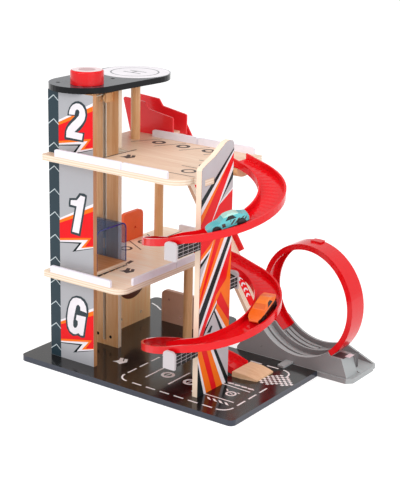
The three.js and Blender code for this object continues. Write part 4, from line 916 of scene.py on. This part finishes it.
# Screen-printed inks: flat even colours, a little duller than the enamel round them
INK_WHITE = Enamel("printed_ink_white", "ebe6eb", 0.35)
INK_ROAD = Enamel("printed_ink_road", "f6f2f2", 0.4)
INK_SLATE = Enamel("printed_ink_slate", "21353f", 0.35)
INK_OUTLINE = Enamel("printed_ink_outline", "26343b", 0.35)
INK_BLACK = Enamel("printed_ink_black", "0b1a1e", 0.35, 0.15)
INK_ORANGE = Enamel("printed_ink_orange", "f77416", 0.35, 0.15)
INK_RED = Enamel("printed_ink_red", "e8141c", 0.35, 0.15)
INK_LINE = Enamel("printed_ink_line", "3a2a24", 0.45)
INK_GREY = Enamel("printed_ink_grey", "bdb9bd", 0.35)
INK_RIM = Enamel("printed_ink_rim", "8b8c90", 0.35)
INK_CHEVRON = Enamel("printed_ink_chevron", "c5d0d4", 0.35)
KNOB_LABEL = Enamel("printed_ink_knob_label", "e8d2d4", 0.3)
KNOB_PATCH = Enamel("printed_ink_knob_patch", "c09a9c", 0.3)
# Blackened screws, and shaded hollows filled with painted shade: the half-round window and the back of the
# slot. No gloss, so the eye reads them as depth
HOLE_DARK = Enamel("blackened_steel_screw", "140f0d", 0.8)
WINDOW_PAINTED_SHADE = Enamel("stained_wood_window", "5a2c1c", 0.4)
SLOT_PAINTED_SHADE = Enamel("stained_wood_slot", "6b3d20", 0.5)
# Dark top and right side of the cradle's clip; the same ink is painted shade in the cradle's recess
CLIP_DARK_AND_RECESS_SHADE = Enamel("dark_clip_and_recess_painted_shade", "4a4648", 0.4)

# Outline of each storey's sign and the white shape inside it, as X and Z on the tower's front
SIGNS: tuple[tuple[Loop, Loop], ...] = (
    ([(88.9, 118.3), (97.9, 118.7), (105.8, 115.6), (110.8, 109.5), (112.9, 101.8), (112.7, 92.0),
      (110.2, 83.3), (105.4, 53.5), (99.4, 51.2), (90.3, 53.1), (81.1, 50.0), (74.0, 53.3), (68.5, 60.3),
      (67.0, 69.9), (66.7, 79.7), (69.3, 93.5), (73.6, 105.9), (79.7, 113.9)],
     [(88.8, 114.9), (97.5, 114.9), (103.8, 111.1), (107.8, 104.7), (109.5, 94.6), (96.7, 95.7),
      (96.3, 101.3), (93.7, 104.0), (90.7, 103.6), (88.3, 100.3), (84.5, 85.5), (81.9, 73.4), (82.1, 66.8),
      (84.9, 64.5), (88.4, 65.8), (91.4, 71.5), (91.1, 77.2), (87.5, 78.8), (89.2, 86.9), (107.7, 87.6),
      (101.8, 55.4), (96.4, 54.9), (92.3, 57.7), (87.2, 54.5), (82.1, 53.9), (75.0, 56.9), (71.0, 64.2),
      (69.8, 77.1), (72.0, 92.5), (76.6, 105.8), (82.1, 112.4)]),
    ([(76.5, 270.9), (89.3, 273.1), (96.3, 282.1), (105.1, 282.8), (110.9, 280.8), (109.9, 273.7),
      (97.7, 214.5), (78.8, 215.6), (78.3, 218.7), (86.8, 257.2), (75.3, 257.4), (75.0, 262.8)],
     [(79.4, 268.3), (91.3, 270.1), (98.8, 278.7), (107.4, 277.8), (94.7, 218.7), (81.5, 219.3),
      (90.8, 260.5), (78.6, 261.1)]),
    ([(73.7, 396.5), (75.1, 403.5), (78.1, 409.8), (83.0, 415.7), (88.8, 419.4), (95.5, 421.0),
      (102.2, 419.7), (107.9, 416.0), (111.7, 409.9), (112.6, 401.8), (110.2, 393.4), (104.8, 385.1),
      (98.1, 377.4), (93.2, 374.0), (107.3, 375.8), (106.9, 373.5), (104.7, 360.7), (68.7, 359.6),
      (67.4, 362.4), (68.5, 372.4), (70.9, 378.8), (75.9, 385.9), (83.7, 393.4), (88.6, 398.1)],
     [(77.0, 398.8), (78.0, 404.6), (81.0, 410.2), (84.9, 414.0), (90.7, 416.9), (97.4, 417.4),
      (103.1, 414.9), (107.5, 409.6), (109.0, 402.1), (106.8, 393.9), (101.0, 386.4), (92.3, 378.1),
      (87.6, 373.7), (103.8, 373.3), (101.8, 363.4), (71.1, 363.7), (72.0, 373.0), (75.2, 379.1),
      (81.7, 385.9), (90.5, 393.6), (96.3, 399.6), (97.5, 405.0), (96.0, 407.8), (92.6, 408.3),
      (89.8, 406.2), (88.2, 399.6)]),
)


@dataclass
class TowerPrints:
    """The strip with chevrons, the flash and the storey's sign on the three front panels."""

    printer: Printer
    front: float = 32.0
    left: float = 36.2
    strip_right: float = 56.5
    right: float = 122.8
    floors: tuple[float, float, float] = (9.2, 153.2, 336.2)
    tops: tuple[float, float, float] = (143.8, 326.8, 431.8)
    flash_up: tuple[float, float, float] = (-164.5, 0.0, 151.5)
    chevron_peak: float = 47.0
    chevron_first: float = 28.0
    chevron_step: float = 36.0
    chevron_slope: float = 0.78
    chevron_width: float = 1.3

    def build(self) -> None:
        """Prints each storey in turn."""
        for storey in range(len(self.floors)):
            self.strip(storey)
            self.flash(storey)
            self.sign(storey)

    def lay(self, name: str, ink: Enamel, shapes: Iterable[Shape], layer: int) -> None:
        """Prints shapes on the front of the tower."""
        self.printer.lay(name, ink, front_face(self.front), shapes, layer, slot="silver_paint")

    def strip(self, storey: int) -> None:
        """Prints the dark strip and its chevrons.

        Args:
            storey: the storey, from 0.
        """
        bottom, top = self.floors[storey], self.tops[storey]
        self.lay(f"strip_{storey}", INK_SLATE, [oblong(self.left, bottom, self.strip_right, top)], 1)
        marks = []
        peak = self.chevron_first
        drop_left = self.chevron_slope * (self.chevron_peak - self.left)
        drop_right = self.chevron_slope * (self.strip_right - self.chevron_peak)
        while peak < top:
            if peak - drop_left > bottom:
                marks.append(stroke([(self.left, peak - drop_left), (self.chevron_peak, peak),
                                     (self.strip_right, peak - drop_right)], self.chevron_width))
            peak += self.chevron_step
        self.lay(f"chevrons_{storey}", INK_CHEVRON, marks, 2)

    def flash(self, storey: int) -> None:
        """Prints the flash of lightning, from its dark underside up.

        Args:
            storey: the storey, from 0.
        """
        left, right, up = self.strip_right, self.right, self.flash_up[storey]
        bands = [
            ("black", INK_BLACK, [(left, 198.4), (101.2, 205.6), (88.5, 190.6), (122.1, 200.8),
                                  (122.1, 200.0), (81.1, 187.0), (94.6, 202.6), (left, 197.1)]),
            ("white", INK_WHITE, [(left, 236.0), (right, 270.0), (right, 201.3), (88.5, 190.6),
                                  (100.6, 205.9), (left, 198.4)]),
            ("orange", INK_ORANGE, [(left, 233.0), (right, 265.4), (right, 202.9), (98.5, 196.2),
                                    (112.4, 211.9), (left, 200.7)]),
            ("red", INK_RED, [(left, 228.4), (right, 258.1), (right, 204.1), (106.4, 200.0),
                              (119.4, 216.4), (left, 204.2)]),
        ]
        for layer, (colour, ink, loop) in enumerate(bands, start=1):
            self.lay(f"flash_{colour}_{storey}", ink, [[moved(loop, (0, up))]], layer)

    def sign(self, storey: int) -> None:
        """Prints the letter or the numeral with its dark outline.

        Args:
            storey: the storey, from 0.
        """
        outer, inner = SIGNS[storey]
        self.lay(f"sign_outline_{storey}", INK_OUTLINE, [[outer]], 5)
        self.lay(f"sign_{storey}", INK_WHITE, [[inner]], 6)


# Stripes of the wedge panel, from the lowest up. Each fills all that lies above its lines, up to its zone's
# top. A line is its rise for each millimetre to the back, and its height at the panel's front edge.
APEX_LINE = (40.0, -1620.0)
CORNER_LINE = (1.67, 190.4)
SIDE_LINE = (3.973, -90.7)
LOW_STRIPES = (
    (INK_BLACK, (0.0, 0.0)), (INK_WHITE, (-3.255, 63.0)), (INK_ORANGE, (-2.833, 72.4)),
    (INK_RED, (-2.476, 100.3)), (INK_ORANGE, (-2.498, 131.3)), (INK_WHITE, (-1.993, 137.4)),
    (INK_BLACK, (-1.834, 143.7)), (INK_GREY, (-1.69, 148.8)),
)
MIDDLE_STRIPES = (
    (INK_BLACK, (-1.835, 200.8)), (INK_WHITE, (-1.576, 196.8)), (INK_ORANGE, (-1.332, 192.3)),
    (INK_RED, (-1.145, 195.6)), (INK_ORANGE, (-1.463, 238.2)), (INK_BLACK, (1.186, 87.2), APEX_LINE),
    (INK_WHITE, (1.108, 94.7), APEX_LINE), (INK_ORANGE, (1.15, 97.5)), (INK_RED, (1.733, 84.5), SIDE_LINE),
    (INK_RED, (0.747, 125.8), SIDE_LINE), (INK_WHITE, (1.633, 103.0)), (INK_BLACK, (1.62, 114.0)),
    (INK_WHITE, (1.49, 138.7)), (INK_ORANGE, (1.599, 146.3)), (INK_RED, (1.793, 152.1)),
    (INK_ORANGE, (2.25, 160.0)), (INK_WHITE, (2.062, 177.0)), (INK_GREY, CORNER_LINE),
    (INK_BLACK, (0.746, 207.7), CORNER_LINE), (INK_WHITE, (0.613, 214.5), CORNER_LINE),
    (INK_ORANGE, (0.558, 219.2), CORNER_LINE), (INK_RED, (0.6, 225.0), CORNER_LINE),
)
HIGH_STRIPES = (
    (INK_RED, (0.0, 0.0)), (INK_WHITE, (0.502, 270.2)), (INK_GREY, (0.498, 273.3)),
    (INK_BLACK, (1.024, 247.7)), (INK_WHITE, (1.358, 233.1)), (INK_RED, (1.555, 229.7)),
    (INK_ORANGE, (1.2, 272.0)), (INK_WHITE, (1.0, 285.6)), (INK_BLACK, (0.915, 296.1)),
    (INK_GREY, (0.803, 308.3)),
)


@dataclass
class WedgePrint:
    """The slanted stripes on the right-hand face of the wedge panel, in three zones."""

    printer: Printer
    panel: bpy.types.Object
    front: float = 36.0
    right: float = 316.0
    low_top: Point = (-0.2, 91.7)
    middle_top: Point = (-0.23, 264.6)
    sliver: Loop = ((67.4, 112.7), (71.5, 111.0), (66.1, 102.2), (57.1, 104.1))

    def build(self) -> None:
        """Prints each zone from its lowest stripe up, then the black sliver between two of them."""
        self.zone("low", LOW_STRIPES, [self.cut(self.low_top, -1)])
        self.zone("middle", MIDDLE_STRIPES, [self.cut(self.low_top, 1), self.cut(self.middle_top, -1)])
        self.zone("high", HIGH_STRIPES, [self.cut(self.middle_top, 1)])
        self.printer.lay("wedge_sliver", INK_BLACK, side_face(self.right), [[self.sliver]], 3,
                         slot="wedge_print")

    def cut(self, line: Point, keep: float) -> tuple[Vector, Vector]:
        """Returns a line as a cut through the panel, with keep 1 for above it and -1 for below it."""
        slope, height = line
        return in_frame(0.0, self.front, height), Vector((0.0, -slope, 1.0)) * keep

    def zone(self, name: str, stripes: Sequence[Any], limits: list[tuple[Vector, Vector]]) -> None:
        """Prints the stripes of one zone, each over the one before.

        Args:
            name: name of the zone.
            stripes: an ink and its lines for each.
            limits: the cuts along the zone's foot and top.
        """
        for layer, (ink, *lines) in enumerate(stripes, start=1):
            cuts = limits + [self.cut(line, 1) for line in lines]
            self.printer.clip(f"stripe_{name}_{layer}", ink, self.panel, cuts, layer, "wedge_print")


ARROW_MARK: Loop = [(-11, -8), (-7.5, -3.5), (-6, 2), (-10, 11), (-4.5, 12.5), (0.5, 3.5), (4, 2), (-1.5, 11),
                    (3.5, 13), (9.8, 2.5), (5, -10), (-2.5, -7)]


@dataclass
class BasePrints:
    """Road, parking bays and finish line on the base board."""

    printer: Printer
    level: float = 9.0
    line: float = 2.8
    corner: float = 18.0
    corners: tuple[tuple[float, float, float], ...] = (
        (196.0, 39.3, 180.0), (360.0, 39.3, 270.0), (360.0, 185.5, 0.0), (196.0, 185.5, 90.0))
    dashed: tuple[tuple[Point, Point, int, float], ...] = (
        ((207.0, 21.3), (353.0, 21.3), 6, 0.66), ((207.0, 203.5), (351.0, 203.5), 5, 0.68),
        ((178.0, 47.3), (178.0, 185.5), 5, 0.72), ((378.0, 49.3), (378.0, 128.5), 3, 0.7))
    bay_ends: Point = (50.0, 105.0)
    bay_lines: tuple[float, ...] = (209.8, 252.9, 296.0)
    bay_rings: tuple[Point, ...] = ((231.1, 78.4), (273.5, 76.7))
    bay_ring: Point = (10.8, 6.2)
    bay_bar: Point = (1.5, 5.0)
    bay_bar_width: float = 2.0
    pit_lines: tuple[tuple[Point, Point, float], ...] = (
        ((316.5, 55.2), (368.0, 55.2), 2.4), ((316.5, 102.5), (366.0, 101.0), 2.4))
    front_hatch: Loop = ((324.5, 48.5), (329.0, 48.5), (337.0, 42.2), (331.5, 42.2))
    back_hatch: Loop = ((318.0, 112.5), (327.5, 114.0), (332.0, 110.0), (322.0, 108.5))
    hatch_steps: Point = (10.4, 12.0)
    hatches: int = 4
    pit_ring: tuple[Point, float, float] = ((346.9, 79.0), 8.4, 5.6)
    pit_bars: tuple[tuple[Point, Point, float], ...] = (
        ((344.0, 80.5), (350.5, 78.0), 2.0), ((332.0, 90.0), (337.5, 84.5), 2.2),
        ((352.5, 88.0), (357.0, 86.5), 2.2))
    square: float = 5.0
    flag_rows: tuple[tuple[float, float, int], ...] = (
        (140.5, 357.0, 4), (145.5, 352.0, 6), (150.5, 357.0, 8), (155.5, 352.0, 9), (160.5, 357.0, 9),
        (165.5, 352.0, 9), (170.5, 357.0, 8), (175.5, 362.0, 6), (180.5, 367.0, 3))
    arrow: Point = (141.3, 76.0)
    bend: Loop = ((15.7, 318.6), (31.9, 311.9), (49.6, 300.1))

    def build(self) -> None:
        """Prints the road and what lies inside it."""
        shapes = self.road() + self.bays() + self.pit() + self.flag()
        shapes += [[moved(ARROW_MARK, self.arrow)], stroke(self.bend, self.line)]
        self.printer.lay("base_marks", INK_ROAD, top_face(self.level), shapes, 1, slot="dark_paint")

    def road(self) -> list[Shape]:
        """Draws the edge of the road.

        Returns:
            Its four round corners and the dashes between them.
        """
        shapes = [stroke(arc((x, y), self.corner, start, start + 90), self.line)
                  for x, y, start in self.corners]
        for start, end, count, share in self.dashed:
            shapes += dashes(start, end, count, share, self.line)
        return shapes

    def bays(self) -> list[Shape]:
        """Draws the two parking bays.

        Returns:
            Their lines, and a crossed ring in each.
        """
        front, back = self.bay_ends
        half, rise = self.bay_bar
        shapes = [stroke([(x, front), (x, back)], self.line) for x in self.bay_lines]
        for x, y in self.bay_rings:
            shapes.append(ring((x, y), *self.bay_ring))
            shapes.append(stroke([(x - half, y - rise), (x + half, y + rise)], self.bay_bar_width))
        return shapes

    def pit(self) -> list[Shape]:
        """Draws the bay beside the wedge panel.

        Returns:
            Its lines, the hatched borders and its sign.
        """
        shapes = [stroke([start, end], width) for start, end, width in self.pit_lines]
        for hatch, step in zip((self.front_hatch, self.back_hatch), self.hatch_steps):
            shapes += [[moved(hatch, (step * i, 0.0))] for i in range(self.hatches)]
        shapes.append(ring(*self.pit_ring))
        shapes += [stroke([start, end], width) for start, end, width in self.pit_bars]
        return shapes

    def flag(self) -> list[Shape]:
        """Draws the checkered finish line across the road, thinning towards its ends.

        Returns:
            Its squares.
        """
        side = self.square
        return [oblong(first + side * i, y, first + side * (i + 1), y + side)
                for y, first, count in self.flag_rows for i in range(0, count, 2)]


@dataclass
class FloorPrints:
    """Parking marks and lift borders on the two wooden floors."""

    printer: Printer
    level_1: float = 153.0
    level_2: float = 336.0
    line: float = 2.0
    low_lines: tuple[Loop, ...] = (
        ((40.3, 220.4), (89.2, 191.5)), ((43.0, 267.0), (91.9, 238.1)), ((79.0, 264.0), (78.1, 319.0)))
    low_rings: tuple[Point, ...] = ((65.7, 182.0), (66.5, 229.0))
    low_ring: Point = (10.8, 6.8)
    border_dash: Loop = ((118.5, 41.0), (125.0, 41.0), (122.5, 56.0), (116.0, 56.0))
    border_step: Point = (-1.0, 16.2)
    border_count: int = 6
    low_arrow: Point = (140.3, 93.0)
    high_lines: tuple[Loop, ...] = (
        ((87.0, 166.8), (113.0, 212.6)), ((133.2, 165.5), (160.0, 212.8)), ((179.8, 167.3), (205.0, 213.7)),
        ((225.0, 168.0), (250.5, 214.0)), ((240.0, 48.0), (295.0, 48.8)), ((240.0, 92.7), (295.0, 93.5)),
        ((240.0, 136.0), (295.0, 136.8)))
    back_rings: tuple[Point, ...] = ((123.8, 190.7), (169.2, 192.8), (216.8, 193.7))
    back_ring: Point = (11.0, 5.6)
    right_rings: tuple[Point, ...] = ((267.8, 71.6), (268.3, 114.6))
    right_ring: Point = (11.2, 7.6)
    high_border: Loop = ((123.4, 46.0), (124.8, 88.0), (127.6, 129.0))
    high_border_width: float = 3.2
    high_arrow: Point = (147.3, 84.5)

    def build(self) -> None:
        """Prints slanted bays, their rings and the border of the lift on both floors."""
        across, back = self.border_step
        shapes = [stroke(ends, self.line) for ends in self.low_lines]
        shapes += [ring(centre, *self.low_ring) for centre in self.low_rings]
        shapes += [[moved(self.border_dash, (across * i, back * i))] for i in range(self.border_count)]
        shapes.append([moved(ARROW_MARK, self.low_arrow)])
        self.printer.lay("level_1_marks", INK_LINE, top_face(self.level_1), shapes)
        shapes = [stroke(ends, self.line) for ends in self.high_lines]
        shapes += [ring(centre, *self.back_ring) for centre in self.back_rings]
        shapes += [ring(centre, *self.right_ring) for centre in self.right_rings]
        shapes.append(stroke(self.high_border, self.high_border_width))
        shapes.append([moved(ARROW_MARK, self.high_arrow)])
        self.printer.lay("level_2_marks", INK_LINE, top_face(self.level_2), shapes)


@dataclass
class RoofPrints:
    """Landing pad, knob label and screw heads on the roof."""

    printer: Printer
    level: float = 441.0
    pad: Point = (75.0, 190.6)
    pad_radius: float = 54.5
    pad_rim: float = 1.6
    ring_radius: float = 37.4
    ring_width: float = 2.6
    letter: tuple[tuple[Loop, float], ...] = (
        (((-17.0, -6.8), (16.0, -6.8)), 3.6), (((-15.0, 7.6), (17.0, 7.6)), 3.6),
        (((-1.0, -6.0), (-1.0, 7.0)), 4.2))
    knob: Point = (85.0, 64.0)
    knob_top: float = 462.3
    label_radius: float = 22.6
    patch_radius: float = 12.8
    screws: tuple[Point, ...] = ((45.4, 44.2), (85.9, 122.7), (95.1, 47.3))
    screw_radius: float = 3.2

    def build(self) -> None:
        """Prints the pad, the label and the dark screw heads."""
        face, label = top_face(self.level), top_face(self.knob_top)
        rim = ring(self.pad, self.pad_radius + self.pad_rim, self.pad_radius)
        half = self.ring_width / 2
        marks = [ring(self.pad, self.ring_radius + half, self.ring_radius - half)]
        marks += [stroke(moved(bar, self.pad), width) for bar, width in self.letter]
        screws = [disc(place, self.screw_radius) for place in self.screws]
        lay = self.printer.lay
        lay("pad_rim", INK_RIM, face, [rim], slot="dark_paint")
        lay("pad_white", INK_WHITE, face, [disc(self.pad, self.pad_radius, 72)], 2, slot="dark_paint")
        lay("pad_marks", INK_RIM, face, marks, 3, slot="dark_paint")
        lay("roof_screws", HOLE_DARK, face, screws, 1, slot="dark_paint")
        lay("knob_label", KNOB_LABEL, label, [disc(self.knob, self.label_radius)], 1, "knob", "red_plastic")
        lay("knob_patch", KNOB_PATCH, label, [disc(self.knob, self.patch_radius)], 2, "knob", "red_plastic")


@dataclass
class RampPrints:
    """Red stripe with a row of small white arcs down the middle of the steep launch ramp."""

    printer: Printer
    start: float = 109.0
    level: float = 336.0
    angle: float = 57.9
    front: float = 234.0
    stripe: Point = (10.0, 25.0)
    stripe_top: float = 12.0
    length: float = 300.0
    arc_first: float = 22.0
    arc_step: float = 9.4
    arc_radius: float = 4.4
    arc_width: float = 3.0
    arc_ends: Point = (5.0, 175.0)

    def build(self) -> None:
        """Prints the stripe and its arcs."""
        slope = math.radians(self.angle)
        face = Face((self.start, self.front, self.level), (0.0, 1.0, 0.0),
                    (-math.cos(slope), 0.0, math.sin(slope)))
        near, far = self.stripe
        self.printer.lay("ramp_stripe", INK_RED, face, [oblong(near, -self.length, far, -self.stripe_top)], 1)
        marks = []
        place = self.arc_first
        while place < self.length - self.arc_step:
            bow = arc(((near + far) / 2, -place), self.arc_radius, *self.arc_ends, 12)
            marks.append(stroke(bow, self.arc_width))
            place += self.arc_step
        self.printer.lay("ramp_arcs", INK_WHITE, face, marks, 2)


@dataclass
class CradleMarks:
    """Recess drawn as painted shade, pale tongue and dark clip on the end block of the loop cradle."""

    printer: Printer
    block_top: float = 37.1
    recess: Box = (424.0, 241.0, 444.0, 263.0)
    tongue: Box = (440.0, 250.0, 449.0, 266.0)
    clip_top: float = 38.0
    clip: Box = (434.0, 270.7, 449.0, 278.2)
    clip_foot: float = 14.0

    def build(self) -> None:
        """Prints the recess as painted shade and its tongue, then the clip's top and right side."""
        _, front, right, back = self.clip
        side = (front, self.clip_foot, back, self.clip_top)
        for name, ink, face, box, layer in (
            # The dark recess is painted shade, printed flat on the block's top
            ("cradle_recess_painted_shade", CLIP_DARK_AND_RECESS_SHADE, top_face(self.block_top), self.recess, 1),
            ("cradle_tongue", INK_WHITE, top_face(self.block_top), self.tongue, 2),
            ("clip_top", CLIP_DARK_AND_RECESS_SHADE, top_face(self.clip_top), self.clip, 1),
            ("clip_side", CLIP_DARK_AND_RECESS_SHADE, side_face(right), side, 1),
        ):
            self.printer.lay(name, ink, face, [oblong(*box)], layer, slot="grey_plastic")


@dataclass
class WallMarks:
    """Screws of the shaft's rear wall, painted shade behind its slot, and the panel that closes the
    half-round window, with a dark half-round of painted shade on it.
    """

    printer: Printer
    wall_front: float = 116.0
    wall_screws: tuple[Point, ...] = ((61.4, 24.9), (87.4, 24.3), (86.0, 418.0))
    screw_radius: float = 2.6
    wall_back: float = 124.0
    slot: Box = (-78.5, 16.5, -71.5, 409.5)
    side: float = 53.0
    window_panel: Box = (181.5, 54.5, 239.5, 78.5)
    painted_shade_centre: Point = (215.3, 96.1)
    painted_shade_radius: float = 40.9

    def build(self) -> None:
        """Prints the screws, backs the slot with painted shade, and fits the window's panel with its painted
        shade.
        """
        lay = self.printer.lay
        back = Face((0.0, self.wall_back, 0.0), (-1.0, 0.0, 0.0), (0.0, 0.0, 1.0))
        shade = arc(self.painted_shade_centre, self.painted_shade_radius, 180, 360, 32)
        lay("wall_screws", HOLE_DARK, front_face(self.wall_front),
            [disc(place, self.screw_radius) for place in self.wall_screws])
        # The slot's dark backing is painted shade
        lay("slot_backing", SLOT_PAINTED_SHADE, back, [oblong(*self.slot)])
        # The window's panel takes the side wall's paler birch, which is painted light
        lay("window_panel", SIDE_WOOD_PAINTED_LIGHT, side_face(self.side), [oblong(*self.window_panel)])
        # The dark half-round on the window's panel is painted shade under the first floor
        lay("window_shade", WINDOW_PAINTED_SHADE, side_face(self.side), [[shade]], 2)


@dataclass
class Studio:
    """Camera, soft light and white floor of the picture."""

    lens_mm: float = 96.83
    sensor_mm: float = 36.0
    sight: Point = (0.01, 50.0)
    azimuth: float = 35.177
    elevation: float = 17.257
    roll: float = 1.24
    place_mm: tuple[float, float, float] = (1135.08, -1587.87, 794.59)
    aim: tuple[float, float, float] = (0.0, 0.0, 0.2)
    lamps: tuple[tuple[str, tuple[float, float, float], float, float], ...] = (
        ("key", (-0.4, -2.2, 1.35), 1.6, 20.0),
        ("fill", (2.3, -0.8, 0.95), 1.8, 20.0),
        ("top", (0.1, -0.2, 2.4), 1.6, 13.0))
    surround: float = 0.78
    floor_reach: float = 12.0
    floor_glow: float = 0.6

    def build(self) -> None:
        """Sets camera, lamps, world and floor."""
        self.camera()
        for lamp in self.lamps:
            self.lamp(*lamp)
        self.world()
        self.floor()

    def camera(self) -> None:
        """Places the camera as it was fitted to the photograph."""
        data = bpy.data.cameras.new("camera")
        data.lens = self.lens_mm
        data.sensor_width = self.sensor_mm
        data.clip_start, data.clip_end = self.sight
        camera = bpy.data.objects.new("camera", data)
        bpy.context.scene.collection.objects.link(camera)
        a, e, r = (math.radians(v) for v in (self.azimuth, self.elevation, self.roll))
        back = Vector((math.sin(a) * math.cos(e), -math.cos(a) * math.cos(e), math.sin(e)))
        right = Vector((0, 0, 1)).cross(back).normalized()
        up = back.cross(right)
        turned_right = math.cos(r) * right + math.sin(r) * up
        turned_up = math.cos(r) * up - math.sin(r) * right
        turn = Matrix((turned_right, turned_up, back)).transposed()
        camera.matrix_world = Matrix.Translation(Vector(self.place_mm) * MM) @ turn.to_4x4()
        bpy.context.scene.camera = camera
        bpy.context.scene.view_settings.view_transform = "Standard"

    def lamp(self, name: str, place: Sequence[float], size: float, power: float) -> None:
        """Adds one square soft box that looks at the toy.

        Args:
            name: name of the lamp.
            place: where it hangs, in metres.
            size: width of its square in metres.
            power: watts.
        """
        data = bpy.data.lights.new(name, "AREA")
        data.shape = "SQUARE"
        data.size = size
        data.energy = power
        lamp = bpy.data.objects.new(name, data)
        lamp.location = place
        lamp.rotation_mode = "QUATERNION"
        lamp.rotation_quaternion = (Vector(self.aim) - Vector(place)).to_track_quat("-Z", "Y")
        bpy.context.scene.collection.objects.link(lamp)

    def world(self) -> None:
        """Sets an even pale surround."""
        world = bpy.data.worlds.new("studio")
        world.use_nodes = True
        background = world.node_tree.nodes["Background"]
        background.inputs["Color"].default_value = (1, 1, 1, 1)
        background.inputs["Strength"].default_value = self.surround
        bpy.context.scene.world = world

    def floor(self) -> None:
        """Adds the floor: matte for the light on the toy, white with a soft shadow wherever it is seen."""
        mesh = bpy.data.meshes.new("floor")
        reach = self.floor_reach
        mesh.from_pydata([(-reach, -reach, 0), (reach, -reach, 0), (reach, reach, 0), (-reach, reach, 0)], [],
                         [(0, 1, 2, 3)])
        floor = bpy.data.objects.new("floor", mesh)
        bpy.context.scene.collection.objects.link(floor)
        g = Graph("seamless_paper_floor")
        path = g.add("LightPath").outputs
        seen = path["Is Camera Ray"]
        for ray in ("Is Glossy Ray", "Is Transmission Ray"):
            seen = g.add("Math", {"operation": "MAXIMUM"}, in_0=seen, in_1=path[ray]).outputs[0]
        matte = g.add("BsdfDiffuse", Color=linear("e6e6e6"))
        glow = g.add("Emission", Color=(1, 1, 1, 1), Strength=self.floor_glow)
        shade = g.add("BsdfDiffuse", Color=(*[self.floor_glow] * 3, 1))
        white = g.add("AddShader", in_0=glow.outputs[0], in_1=shade.outputs[0])
        shader = g.add("MixShader", in_0=seen, in_1=matte.outputs[0], in_2=white.outputs[0])
        mesh.materials.append(g.finish(shader))


def main() -> None:
    """Builds the picture in order and reports each stage."""
    logging.basicConfig(level=logging.INFO, format="%(name)s: %(message)s")
    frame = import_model()
    finishes = Finishes()
    printer = Printer(finishes)
    stages = (
        FramePieces(finishes, frame["nodes"]), TowerPrints(printer),
        WedgePrint(printer, frame["nodes"]["wedge_panel"]), BasePrints(printer), FloorPrints(printer),
        RoofPrints(printer), RampPrints(printer), CradleMarks(printer), WallMarks(printer), Studio(),
    )
    for stage in stages:
        stage.build()
        LOG.info("%s done, %d printed layers so far", type(stage).__name__, printer.count)


if __name__ == "__main__":
    main()
